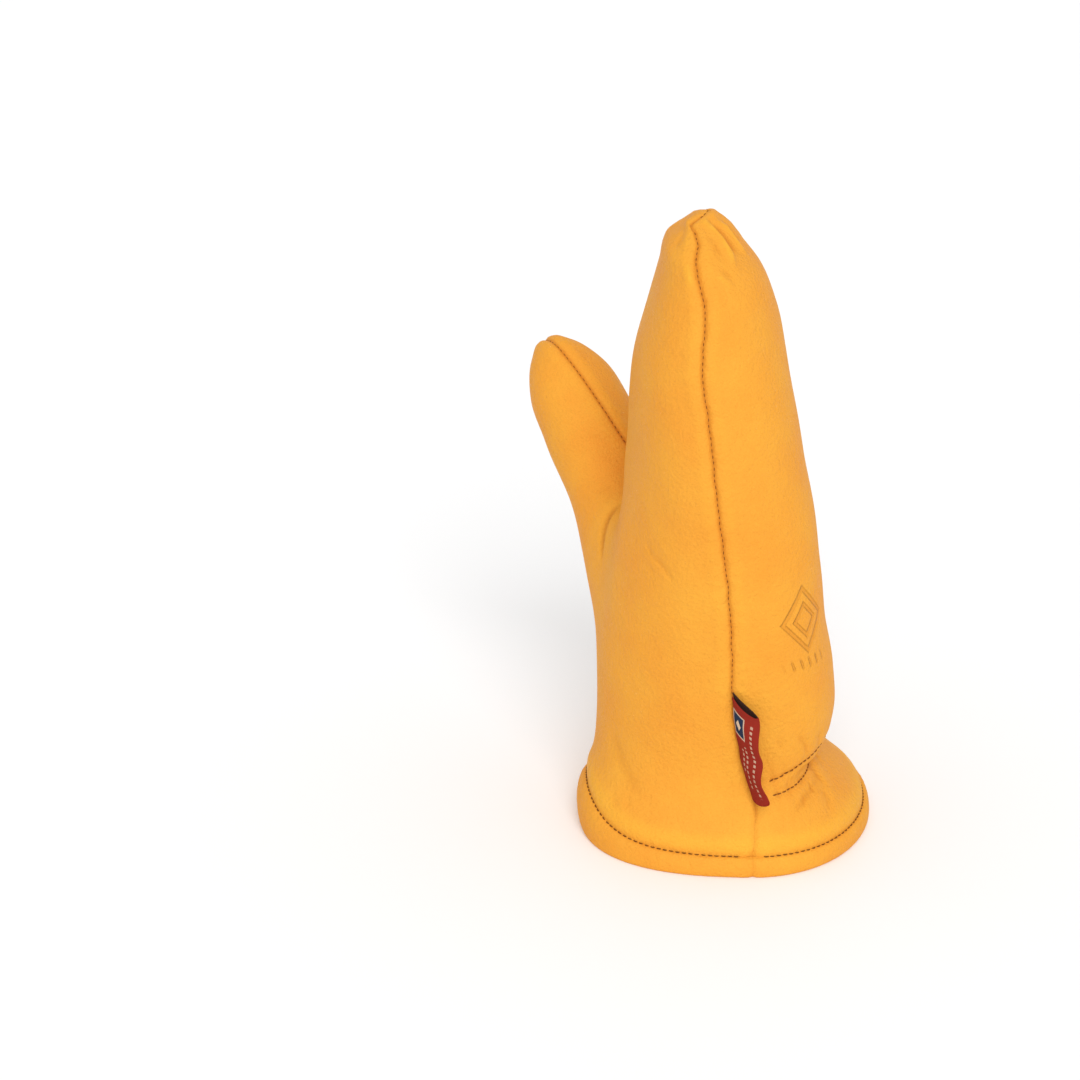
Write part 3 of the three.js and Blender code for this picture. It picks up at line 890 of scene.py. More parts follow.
@dataclass
class LeatherPanel:
    """One cut panel of the mitten, with its half of the thumb: a closed shell of leather."""

    shell: MittenShell
    side: Side
    node: str
    stamp_across: float = 0.22
    stamp_height: float = 99.0

    def mark_stamp(self, obj: bpy.types.Object, face: Array) -> None:
        """Stores how far each point lies from the stamp's middle, in millimetres.

        Args:
            obj: the panel.
            face: the points of its outer face; those of the inner face follow in the same order.
        """
        near, _ = self.shell.distances(self.side)
        middle = np.array([np.interp(self.stamp_across, self.shell.across, row) for row in near.T])
        right = (near - middle).T[:-1].ravel()
        up = face[:, 2] - self.stamp_height
        far_off = np.full(len(face) + 2, 1e3)
        store_value(obj, "stamp_right", np.concatenate([right, far_off]))
        store_value(obj, "stamp_up", np.concatenate([up, far_off]))

    def faces(self, wide: int, tall: int) -> tuple[Array, Array]:
        """Faces of the shell: two grids joined along both seams and at the cuff, and two fans.

        Args:
            wide: points across each grid.
            tall: points up each grid, without the tip that all its columns share.

        Returns:
            Quads and triangles, which point outwards.
        """
        start = wide * tall
        tips = (2 * start, 2 * start + 1)
        out = closed_quads(wide, tall, False, False)
        into = out[:, ::-1] + start
        rim = np.arange(tall - 1) * wide
        near = np.stack([rim, rim + wide, start + rim + wide, start + rim], axis=-1)
        last = rim + wide - 1
        far = np.stack([last, start + last, start + last + wide, last + wide], axis=-1)
        foot = np.arange(wide - 1)
        sole = np.stack([foot, start + foot, start + foot + 1, foot + 1], axis=-1)
        top = (tall - 1) * wide + np.arange(wide - 1)
        cap_out = np.stack([top, top + 1, np.full(wide - 1, tips[0])], axis=-1)
        cap_in = np.stack([start + top, np.full(wide - 1, tips[1]), start + top + 1], axis=-1)
        first, final = (tall - 1) * wide, tall * wide - 1
        tip_quads = np.array([[first, tips[0], tips[1], start + first],
                              [final, start + final, tips[1], tips[0]]])
        quads = np.vstack([out, into, near, far, sole, tip_quads])
        triangles = np.vstack([cap_out, cap_in])
        if self.side is Side.PALM:
            return quads[:, ::-1], triangles[:, ::-1]
        return quads, triangles

    def build(self, placer: Placer, look: bpy.types.Material) -> bpy.types.Object:
        """Builds the shell from the outer and the inner face.

        Args:
            placer: writes the mesh.
            look: the leather.

        Returns:
            The piece, which replaces its node.
        """
        outer = self.shell.outer[self.side]
        inner = self.shell.inner(self.side)
        inner[:, 0, 2] = outer[:, 0, 2]
        skins = [g[:, :-1].transpose(1, 0, 2).reshape(-1, 3) for g in (outer, inner)]
        points = np.vstack(skins + [outer[:1, -1], inner[:1, -1]])
        obj = placer.piece(f"{self.node}_leather", points, *self.faces(outer.shape[0], outer.shape[1] - 1))
        # This lift also sets the painted shade and painted highlight in the leather's colour.
        lift = self.shell.creases[self.side][:, :-1].T.ravel()
        ends = np.full(2, -self.shell.relief.valley_depth)
        store_value(obj, "lift", np.concatenate([lift, lift, ends]))
        if self.side is Side.BACK:
            self.mark_stamp(obj, skins[0])
        obj.data.materials.append(look)
        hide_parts(self.node)
        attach(obj, "root")
        return obj


@dataclass
class TurnedHem:
    """The cuff's edge, folded in and sewn: a rolled ring round the foot of both panels."""

    shell: MittenShell
    node: str = "cuff_hem"
    turn_height: float = 12.0
    wall: float = 1.6
    swell: float = 0.7
    floor: float = 2.0
    crease_depth: float = 0.6
    crease_width: float = 1.0
    ridge_height: float = 0.2
    ridge_distance: float = 3.5
    ridge_width: float = 2.4
    pucker_pitch: float = 4.1
    pucker_depth: float = 0.14
    pucker_reach: float = 3.0
    sag_depth: float = 0.22
    sag_length: float = 17.0
    sag_below: float = 4.0
    lowest: float = 1e-3

    def outline(self) -> tuple[Array, int]:
        """The roll's closed section, by smooth pieces through a few named corners.

        Returns:
            Pairs of offset, square to the leather, and height, and how many of them lie on the
            outside. They go up the outside of the roll, over its thin edge, down into the trough
            that holds the panels, up and over the inner leg, and down to the flat underside.
        """
        gap = self.shell.seam_gap
        leather = self.shell.leather
        top = self.shell.relief.hem_height
        inside = -leather - gap
        bulge = gap + self.wall + self.swell
        t = np.linspace(0.0, 1.0, 15)
        swollen = bulge * np.sin(np.pi * (0.12 + 0.86 * t)) ** 0.62 * (1 - 0.10 * t) - 0.35 * (1 - t)
        rise = np.stack([swollen, top * (1 - np.cos(np.pi * t)) / 2], axis=-1)
        edge = np.array([[0.06, top + 0.1], [0.02, top - 0.7]])
        trough = np.array([[0.10, self.floor + 1.2], [-leather / 2, self.floor], [inside, self.floor + 1.2]])
        leg = np.array([[inside, self.turn_height - 0.6], [inside - 0.5, self.turn_height],
                        [inside - self.wall + 0.4, self.turn_height - 0.1],
                        [inside - self.wall, self.turn_height - 1.0]])
        u = np.linspace(0.0, 1.0, 9)[1:]
        down = np.stack([inside - self.wall - self.swell * np.sin(np.pi * u) ** 0.8 + 0.9 * u ** 4,
                         (self.turn_height - 1.0) * (1 - u) ** 1.05], axis=-1)
        return np.vstack([rise, edge, trough, leg, down]), len(rise) + len(edge)

    def ring(self, side: Side) -> tuple[Array, Array]:
        """Carries the outline across one panel, with the seams' creases and the stitches' puckers.

        Args:
            side: the panel.

        Returns:
            A grid of points, places by outline points, and the lift of each.
        """
        outline, outer_count = self.outline()
        form, relief = self.shell.form, self.shell.relief
        across = self.shell.across[:, None]
        outside = (np.arange(len(outline)) < outer_count)[None, :]
        stretch = np.where(outside, relief.hem_top(side, across) / relief.hem_height, 1.0)
        heights = outline[:, 1][None, :] * stretch
        along = np.maximum(form.along_at(heights), self.lowest)
        across = np.broadcast_to(across, along.shape)
        face = form.skin(side, across, along)
        level = form.outward(side, across, along) * [1.0, 1.0, 0.0]
        foot = form.skin(side, across[:, 0], np.full(len(across), self.lowest))
        steps = np.linalg.norm(np.diff(foot, axis=0), axis=-1)
        near = np.concatenate([[0.0], np.cumsum(steps)])[:, None]
        gap = np.minimum(near, near[-1] - near)
        ridge = self.ridge_height * bell(gap - self.ridge_distance, self.ridge_width)
        crease = ridge - self.crease_depth * bell(gap, self.crease_width)
        below = relief.hem_height - outline[:, 1][None, :]
        pucker = (self.pucker_depth * np.sin(2 * np.pi * near / self.pucker_pitch)
                  * bell(below, self.pucker_reach))
        sag = (self.sag_depth * np.sin(near / self.sag_length + 0.6)
               * bell(below - self.sag_below, self.pucker_reach))
        lift = np.where(outside, crease + pucker + sag, 0.0)
        face[..., 0] += relief.sway(heights) * bell(near, relief.sway_reach)
        points = face + ((outline[:, 0] / (level ** 2).sum(-1)) + lift)[..., None] * level
        points[..., 2] = np.maximum(heights, 0.0)
        return points, lift

    def build(self, placer: Placer, look: bpy.types.Material) -> bpy.types.Object:
        """Joins both panels' parts of the roll into one ring.

        Args:
            placer: writes the mesh.
            look: the leather.

        Returns:
            The piece, which replaces its node.
        """
        palm, back = self.ring(Side.PALM), self.ring(Side.BACK)
        points = np.concatenate([palm[0], back[0][1:-1][::-1]])
        lift = np.concatenate([palm[1], back[1][1:-1][::-1]])
        around, section = points.shape[:2]
        quads = closed_quads(section, around, True, True)
        obj = placer.piece(f"{self.node}_roll", points.reshape(-1, 3), quads)
        # This lift also sets the painted shade and painted highlight in the leather's colour.
        store_value(obj, "lift", lift)
        obj.data.materials.append(look)
        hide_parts(self.node)
        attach(obj, "root")
        return obj


@dataclass
class StitchRun:
    """A row of stitches along a line on the leather.

    Args:
        name: the piece's name.
        pitch: from one stitch's start to the next.
        length: of one stitch.
        thickness: of the thread.
        rise: how far the middle of a stitch stands above the leather.
        sink: how far its ends dip below the leather.
        unevenness: how far a stitch's ends stray sideways and along the row.
        seed: starts the numbers that make the row uneven.
        rounds: rings of points along a stitch.
        sides: points in a ring.
        probe: how far ahead and behind the line's direction is taken.
    """

    name: str
    pitch: float = 2.3
    length: float = 1.8
    thickness: float = 0.30
    rise: float = 0.06
    sink: float = 0.30
    unevenness: float = 0.12
    seed: int = 5
    rounds: int = 7
    sides: int = 8
    probe: float = 0.3

    def solids(self, points: Array, normals: Array) -> tuple[Array, Array]:
        """Stitches as small capsules: a circle of radius r√(1 - (2t - 1)⁴) carried along an arch.

        Args:
            points: the line on the leather.
            normals: outward normals along it.

        Returns:
            Vertices and quads of all the stitches.
        """
        steps = np.linalg.norm(np.diff(points, axis=0), axis=-1)
        run = np.concatenate([[0.0], np.cumsum(steps)])
        count = int((run[-1] - self.length) / self.pitch) + 1
        starts = np.arange(count) * self.pitch
        t = np.linspace(0.0, 1.0, self.rounds)
        stray = np.random.default_rng(self.seed).uniform(-1.0, 1.0, (count, 4)) * self.unevenness
        stretched = self.length + stray[:, 1:2]
        place = starts[:, None] + stray[:, :1] + t * stretched

        def along_line(values: Array, step: float = 0.0) -> Array:
            """Values looked up at each place along the line, or a step past it."""
            return np.stack([np.interp(place + step, run, values[:, k]) for k in range(3)], axis=-1)

        centre = along_line(points)
        normal = unit(along_line(normals))
        tangent = unit(along_line(points, self.probe) - along_line(points, -self.probe))
        sideways = unit(np.cross(normal, tangent))
        arch = self.rise - self.sink * (2 * t - 1) ** 2
        aside = stray[:, 2:3] * (1 - t) + stray[:, 3:4] * t
        centre = centre + arch[None, :, None] * normal + aside[..., None] * sideways
        radius = self.thickness / 2 * np.sqrt(np.clip(1 - (2 * t - 1) ** 4, 0.04, None))
        angle = np.linspace(0.0, 2 * np.pi, self.sides, endpoint=False)
        ring = (np.cos(angle)[:, None] * sideways[..., None, :]
                + np.sin(angle)[:, None] * normal[..., None, :])
        points_out = centre[..., None, :] + radius[None, :, None, None] * ring
        each = self.rounds * self.sides
        body = closed_quads(self.sides, self.rounds, True, False)
        fan = np.arange(0, self.sides - 2, 2)
        start_cap = np.stack([np.zeros_like(fan), fan + 3, fan + 2, fan + 1], axis=-1) % self.sides
        end_cap = start_cap[:, ::-1] + (self.rounds - 1) * self.sides
        quads = np.vstack([body, start_cap, end_cap])
        all_quads = (quads[None] + (np.arange(count) * each)[:, None, None]).reshape(-1, 4)
        return points_out.reshape(-1, 3), all_quads

    def build(self, placer: Placer, lines: list[tuple[Array, Array]],
              look: bpy.types.Material) -> bpy.types.Object:
        """Joins the stitches of several lines into one piece.

        Args:
            placer: writes the mesh.
            lines: pairs of points and normals.
            look: the thread.

        Returns:
            The piece.
        """
        vertices, faces, count = [], [], 0
        for points, normals in lines:
            v, f = self.solids(points, normals)
            vertices.append(v)
            faces.append(f + count)
            count += len(v)
        obj = placer.piece(self.name, np.vstack(vertices), np.vstack(faces))
        obj.data.materials.append(look)
        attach(obj, "root")
        return obj


@dataclass
class WovenTag:
    """A woven tape, folded double over itself and sewn into the little finger's seam."""

    shell: MittenShell
    node: str = "seam_tag"
    height: float = 43.0
    width: float = 11.0
    thickness: float = 0.42
    base: float = 29.0
    top_drop: float = 8.0
    foot_round: float = 2.2
    back_rise: float = 1.7
    stand_off: float = 0.9
    layer_gap: float = 0.35
    mouth_gap: float = 1.7
    headings: tuple[float, float, float, float] = (5.0, 50.0, 35.0, 95.0)
    edge_wave: float = 11.0
    rows: int = 90
    turns: int = 60

    def sheet(self) -> Array:
        """The tape's middle surface.

        Across, the tape runs out along an arc whose heading turns evenly from the seam to the
        fold, round the fold, and back beside itself. Up the tape, the headings at the seam and
        at the fold go from their lower to their upper values, with a slow wave at the fold. The
        two layers part near the top, where the one behind stands a little higher.

        Returns:
            A grid of points, the tape's length by its width.
        """
        up = np.linspace(0.0, 1.0, self.rows)[:, None]
        path = np.linspace(-1.0, 1.0, 2 * self.turns + 1)[None, :]
        out = 1 - np.abs(path)
        front = np.tanh(path * 9.0)
        low_out, low_over, high_out, high_over = np.radians(self.headings)
        start = low_out + (high_out - low_out) * up
        end = low_over + (high_over - low_over) * up + np.radians(self.edge_wave) * np.sin(up * 15.0 + 0.4)
        heading = start + (end - start) * out
        radius = self.width / (end - start)
        along = self.shell.form.along_at(self.base + up[:, 0] * self.height)
        root = self.shell.form.skin(Side.PALM, np.zeros_like(along), along)[:, None, :]
        mouth = eased((up - 0.70) / 0.30) * np.sin(np.pi * out ** 1.3) * self.mouth_gap
        half = -(self.layer_gap + mouth) / 2 * front
        x = radius * (np.cos(start) - np.cos(heading)) + half * np.cos(heading)
        y = -radius * (np.sin(heading) - np.sin(start)) + half * np.sin(heading)
        z = -out * up * self.top_drop + self.foot_round * out ** 5 * np.clip(1 - up / 0.12, 0.0, 1.0) ** 2
        z = z + self.back_rise * (1 - front) / 2 * eased((up - 0.75) / 0.25)
        points = np.stack([x, y, z], axis=-1) + root
        points[..., 0] += self.shell.relief.sway(root[..., 2])
        points[..., 1] -= self.stand_off
        return points

    def build(self, placer: Placer, look: bpy.types.Material) -> bpy.types.Object:
        """Builds the folded tape with its thickness and its own UV map.

        Args:
            placer: writes the mesh.
            look: the woven tape.

        Returns:
            The piece, which replaces its node.
        """
        grid = self.sheet()
        tall, wide = grid.shape[:2]
        quads = closed_quads(wide, tall, False, False)
        obj = placer.piece("seam_tag_tape", grid.reshape(-1, 3), quads)
        uv = obj.data.uv_layers.new(name="tape")
        across = np.linspace(-1.0, 1.0, wide)
        up = np.linspace(0.0, 1.0, tall)
        pairs = np.stack(np.meshgrid(across, up, indexing="xy"), axis=-1).reshape(-1, 2)
        corners = np.zeros(len(obj.data.loops), np.int32)
        obj.data.loops.foreach_get("vertex_index", corners)
        uv.data.foreach_set("uv", pairs[corners].astype(np.float32).ravel())
        wall = obj.modifiers.new("tape thickness", "SOLIDIFY")
        wall.thickness = self.thickness * MM
        wall.offset = 0.0
        obj.data.materials.append(look)
        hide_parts(self.node)
        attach(obj, "root")
        return obj

    def flat_size(self) -> tuple[float, float]:
        """Measures the tape along its middle surface.

        Returns:
            Its width unfolded and its length, in metres.
        """
        grid = self.sheet()
        across = np.linalg.norm(np.diff(grid, axis=1), axis=-1).sum(1).mean()
        length = np.linalg.norm(np.diff(grid, axis=0), axis=-1).sum(0).mean()
        return float(across) * MM, float(length) * MM


class NodeSketch:
    """A short way to add nodes to a tree, set their values and link them."""

    def __init__(self, tree: bpy.types.NodeTree) -> None:
        """Keeps the tree."""
        self.tree = tree

    def add(self, kind: str, inputs: dict | None = None, **settings: object) -> bpy.types.Node:
        """Adds a node.

        Args:
            kind: the node's type, without ShaderNode in front unless it is a group's node.
            inputs: values or output sockets, by input name or number.
            settings: properties of the node.

        Returns:
            The node.
        """
        node = self.tree.nodes.new(kind if kind.startswith("Node") else f"ShaderNode{kind}")
        for name, value in settings.items():
            setattr(node, name, value)
        for name, value in (inputs or {}).items():
            if isinstance(value, bpy.types.NodeSocket):
                self.tree.links.new(value, node.inputs[name])
            else:
                node.inputs[name].default_value = value
        return node

    def maths(self, operation: str, *values: object) -> bpy.types.NodeSocket:
        """A Math node's output, from numbers or sockets."""
        return self.add("Math", dict(enumerate(values)), operation=operation).outputs[0]

    def ramp(self, fac: bpy.types.NodeSocket, stops: list[tuple[float, tuple]]) -> bpy.types.NodeSocket:
        """A colour ramp's output.

        Args:
            fac: what is looked up.
            stops: places and colours.

        Returns:
            The colour.
        """
        node = self.add("ValToRGB", {0: fac})
        elements = node.color_ramp.elements
        while len(elements) < len(stops):
            elements.new(0.5)
        for element, (place, colour) in zip(elements, stops):
            element.position = place
            element.color = colour
        return node.outputs["Color"]

    def mixed(self, fac: object, a: object, b: object, blend: str = "MIX") -> bpy.types.NodeSocket:
        """Two colours mixed by a factor.

        Args:
            fac: how much of the second one shows.
            a: the first colour.
            b: the second colour.
            blend: how they are mixed.

        Returns:
            The colour.
        """
        node = self.add("Mix", data_type="RGBA", blend_type=blend)
        for name, value in ((0, fac), (6, a), (7, b)):
            if isinstance(value, bpy.types.NodeSocket):
                self.tree.links.new(value, node.inputs[name])
            else:
                node.inputs[name].default_value = value
        return node.outputs[2]


def rgba(red: float, green: float, blue: float) -> tuple[float, float, float, float]:
    """Turns a colour as a screen shows it into the linear values that nodes take.

    Args:
        red, green, blue: the colour's parts, from 0 to 255.

    Returns:
        The linear parts, from 0 to 1, and full opacity.
    """
    c = np.array([red, green, blue]) / 255.0
    linear = np.where(c <= 0.04045, c / 12.92, ((c + 0.055) / 1.055) ** 2.4)
    return (*[float(v) for v in linear], 1.0)


def new_material(name: str) -> tuple[bpy.types.Material, NodeSketch, bpy.types.Node]:
    """An empty node material.

    Args:
        name: the material's name.

    Returns:
        The material, a sketch on its tree and its Principled BSDF.
    """
    material = bpy.data.materials.new(name)
    material.use_nodes = True
    return material, NodeSketch(material.node_tree), material.node_tree.nodes["Principled BSDF"]


@dataclass(frozen=True)
class LeatherGrain:
    """The leather's surface, shared by the panels and the hem.

    Pebbles come from a Voronoi pattern broken up by noise, pores from finer noise, and broad
    mottling from slow noise. Scales are waves in a metre, and the reach is in metres.
    """

    pebble_scale: float = 900.0
    mottle_scale: float = 38.0
    warp_scale: float = 260.0
    warp_reach: float = 0.0012
    pore_scale: float = 2600.0
    wrinkle_scale: float = 330.0
    pebble_share: float = 0.45
    pore_share: float = 0.35
    wrinkle_share: float = 0.9

    def group(self) -> bpy.types.ShaderNodeTree:
        """Builds the node group.

        Returns:
            A node group with a height, a mottle mask and a fine mask.
        """
        tree = bpy.data.node_groups.new("leather grain", "ShaderNodeTree")
        sockets = tree.interface
        for name, value in (("Pebble Scale", self.pebble_scale), ("Mottle Scale", self.mottle_scale)):
            socket = sockets.new_socket(name, in_out="INPUT", socket_type="NodeSocketFloat")
            socket.default_value = value
        for name in ("Height", "Mottle", "Fine"):
            sockets.new_socket(name, in_out="OUTPUT", socket_type="NodeSocketFloat")
        sketch = NodeSketch(tree)
        given = sketch.add("NodeGroupInput").outputs
        place = sketch.add("TexCoord").outputs["Object"]
        warp = sketch.add("TexNoise", {"Vector": place, "Scale": self.warp_scale, "Detail": 2.0})
        shifted = sketch.add("VectorMath", {0: warp.outputs["Color"], "Scale": self.warp_reach},
                             operation="SCALE")
        moved = sketch.add("VectorMath", {0: place, 1: shifted.outputs[0]}, operation="ADD").outputs[0]
        cells = sketch.add("TexVoronoi", {"Vector": moved, "Scale": given["Pebble Scale"]},
                           feature="SMOOTH_F1")
        pebble = sketch.maths("SUBTRACT", 1.0, cells.outputs["Distance"])
        pores = sketch.add("TexNoise", {"Vector": place, "Scale": self.pore_scale,
                                        "Detail": 3.0, "Roughness": 0.6}).outputs["Fac"]
        wrinkle = sketch.add("TexNoise", {"Vector": moved, "Scale": self.wrinkle_scale,
                                          "Detail": 5.0, "Roughness": 0.62}).outputs["Fac"]
        height = sketch.maths("ADD", sketch.maths("MULTIPLY", pebble, self.pebble_share),
                              sketch.maths("MULTIPLY", pores, self.pore_share))
        height = sketch.maths("ADD", height, sketch.maths("MULTIPLY", wrinkle, self.wrinkle_share))
        slow = sketch.add("TexNoise", {"Vector": place, "Scale": given["Mottle Scale"],
                                       "Detail": 5.0, "Roughness": 0.58}).outputs["Fac"]
        result = sketch.add("NodeGroupOutput")
        for name, value in (("Height", height), ("Mottle", slow), ("Fine", pores)):
            tree.links.new(value, result.inputs[name])
        return tree


@dataclass(frozen=True)
class BlindStamp:
    """A plain ornament pressed into the leather: a lozenge in a lozenge over a row of short bars.

    Args:
        outer, inner: half of each lozenge's width and height.
        outer_line, inner_line: half the width of their lines, as shares of the lozenge.
        bar_step: half the distance from one bar to the next.
        bar_line: half the width of a bar.
        bar_slant: how far a bar leans for each millimetre of height.
        row_drop: how far the row of bars lies below the middle.
        row_half: half of the row's width and height.
        soft_share: where a line's edge begins to fade, as a share of its half width.
    """

    outer: tuple[float, float] = (11.0, 12.5)
    inner: tuple[float, float] = (5.5, 6.2)
    outer_line: float = 0.15
    inner_line: float = 0.26
    bar_step: float = 2.1
    bar_line: float = 0.7
    bar_slant: float = 0.25
    row_drop: float = 17.5
    row_half: tuple[float, float] = (16.0, 2.8)
    soft_share: float = 0.35

    def group(self) -> bpy.types.ShaderNodeTree:
        """Builds the node group.

        A lozenge is the set of points where |x| / a + |y| / b is 1. The group reads how far a
        point lies from the stamp's middle, in millimetres, from two attributes.

        Returns:
            A node group that puts out 1 on the pressed lines and 0 beside them.
        """
        tree = bpy.data.node_groups.new("blind stamp", "ShaderNodeTree")
        tree.interface.new_socket("Pressed", in_out="OUTPUT", socket_type="NodeSocketFloat")
        sketch = NodeSketch(tree)
        right = sketch.add("Attribute", attribute_name="stamp_right").outputs["Fac"]
        up = sketch.add("Attribute", attribute_name="stamp_up").outputs["Fac"]
        wide = sketch.maths("ABSOLUTE", right)
        tall = sketch.maths("ABSOLUTE", up)

        def near_zero(value: bpy.types.NodeSocket, reach: float) -> bpy.types.NodeSocket:
            """1 at zero, falling to 0 at the given reach."""
            node = sketch.add("MapRange", {0: sketch.maths("ABSOLUTE", value), 1: self.soft_share * reach,
                                           2: reach, 3: 1.0, 4: 0.0}, interpolation_type="SMOOTHSTEP")
            return node.outputs[0]

        def lozenge(half: tuple[float, float], line: float) -> bpy.types.NodeSocket:
            """1 on the lines where |x| / a + |y| / b is 1, and 0 beside them."""
            size = sketch.maths("ADD", sketch.maths("DIVIDE", wide, half[0]),
                                sketch.maths("DIVIDE", tall, half[1]))
            return near_zero(sketch.maths("SUBTRACT", size, 1.0), line)

        lozenges = sketch.maths("MAXIMUM", lozenge(self.outer, self.outer_line),
                                lozenge(self.inner, self.inner_line))
        slant = sketch.maths("ADD", right, sketch.maths("MULTIPLY", up, self.bar_slant))
        bars = near_zero(sketch.maths("PINGPONG", slant, self.bar_step), self.bar_line)
        band = near_zero(sketch.maths("ADD", up, self.row_drop), self.row_half[1])
        bars = sketch.maths("MULTIPLY", sketch.maths("MULTIPLY", bars, band),
                            near_zero(right, self.row_half[0]))
        result = sketch.add("NodeGroupOutput")
        tree.links.new(sketch.maths("MAXIMUM", lozenges, bars), result.inputs["Pressed"])
        return tree


@dataclass(frozen=True)
class GoldenLeather:
    """Smooth golden leather with a soft sheen, with a painted highlight on ridges and painted shade in
    folds, seam valleys and pressed lines.
    """

    name: str
    light: tuple[float, float, float] = (234, 164, 56)
    body: tuple[float, float, float] = (231, 153, 51)
    # Painted highlight: the colour that rising leather is mixed towards.
    ridge: tuple[float, float, float] = (240, 177, 56)
    # Painted shade: the colour that folds, seam valleys and pressed lines are mixed towards.
    deep: tuple[float, float, float] = (186, 102, 26)
    roughness: float = 0.52
    bump: float = 0.8
    bump_distance: float = 0.0008
    shade_start: float = 0.25
    fold_shade: float = 0.7
    highlight_start: float = 0.1
    highlight_full: float = 1.2
    highlight_share: float = 0.5
    stamp_depth: float = 1.2
    stamp_shade: float = 0.24
    speck_share: float = 0.6
    specular: float = 0.1

    def build(self, grain: bpy.types.ShaderNodeTree,
              stamp: bpy.types.ShaderNodeTree | None = None) -> bpy.types.Material:
        """Builds the material.

        Args:
            grain: the shared grain group.
            stamp: the pressed ornament, if this leather has it.

        Returns:
            The material.
        """
        material, sketch, shader = new_material(self.name)
        group = sketch.add("Group")
        group.node_tree = grain
        colour = sketch.ramp(group.outputs["Mottle"], [(0.30, rgba(*self.body)), (0.72, rgba(*self.light))])
        lift = sketch.add("Attribute", attribute_name="lift").outputs["Fac"]
        # Painted shade where the lift sinks below its start, as in folds and seam valleys.
        below = sketch.maths("MINIMUM", sketch.maths("ADD", lift, self.shade_start), 0.0)
        painted_shade = sketch.maths("MINIMUM", sketch.maths("MULTIPLY", below, -self.fold_shade), self.fold_shade)
        # Painted highlight where the lift rises, on ridges, rolls and the hem's swell.
        painted_highlight = sketch.add("MapRange", {0: lift, 1: self.highlight_start, 2: self.highlight_full,
                                        3: 0.0, 4: self.highlight_share},
                           interpolation_type="SMOOTHSTEP").outputs[0]
        colour = sketch.mixed(painted_highlight, colour, rgba(*self.ridge))
        height = group.outputs["Height"]
        if stamp is not None:
            press = sketch.add("Group")
            press.node_tree = stamp
            pressed = press.outputs["Pressed"]
            height = sketch.maths("SUBTRACT", height, sketch.maths("MULTIPLY", pressed, self.stamp_depth))
            # The stamp's pressed lines get painted shade too.
            painted_shade = sketch.maths("MAXIMUM", painted_shade, sketch.maths("MULTIPLY", pressed, self.stamp_shade))
        # Mixes the painted shade into the colour.
        colour = sketch.mixed(painted_shade, colour, rgba(*self.deep))
        speck = sketch.ramp(group.outputs["Fine"], [(0.30, (0.86, 0.82, 0.76, 1)), (0.58, (1, 1, 1, 1))])
        colour = sketch.mixed(self.speck_share, colour, speck, "MULTIPLY")
        bump = sketch.add("Bump", {"Height": height, "Strength": self.bump,
                                   "Distance": self.bump_distance})
        rough = sketch.add("MapRange", {0: group.outputs["Mottle"], 3: self.roughness - 0.06,
                                        4: self.roughness + 0.08})
        links = material.node_tree.links
        links.new(colour, shader.inputs["Base Color"])
        links.new(bump.outputs["Normal"], shader.inputs["Normal"])
        links.new(rough.outputs[0], shader.inputs["Roughness"])
        shader.inputs["Specular IOR Level"].default_value = self.specular
        return material


@dataclass(frozen=True)
class SewingThread:
    """Twisted dark brown thread."""

    name: str = "brown thread"
    colour: tuple[float, float, float] = (138, 76, 28)
    twist_scale: float = 1400.0

    def build(self) -> bpy.types.Material:
        """Builds the material: two close browns and a bump from slanting bands.

        Returns:
            The material.
        """
        material, sketch, shader = new_material(self.name)
        place = sketch.add("TexCoord").outputs["Object"]
        bands = sketch.add("TexWave", {"Vector": place, "Scale": self.twist_scale, "Distortion": 1.0},
                           bands_direction="DIAGONAL")
        darker = tuple(0.6 * c for c in self.colour)
        colour = sketch.ramp(bands.outputs["Fac"], [(0.2, rgba(*darker)), (0.8, rgba(*self.colour))])
        bump = sketch.add("Bump", {"Height": bands.outputs["Fac"], "Strength": 0.3, "Distance": 0.0001})
        material.node_tree.links.new(colour, shader.inputs["Base Color"])
        material.node_tree.links.new(bump.outputs["Normal"], shader.inputs["Normal"])
        shader.inputs["Roughness"].default_value = 0.8
        shader.inputs["Specular IOR Level"].default_value = 0.15
        return material


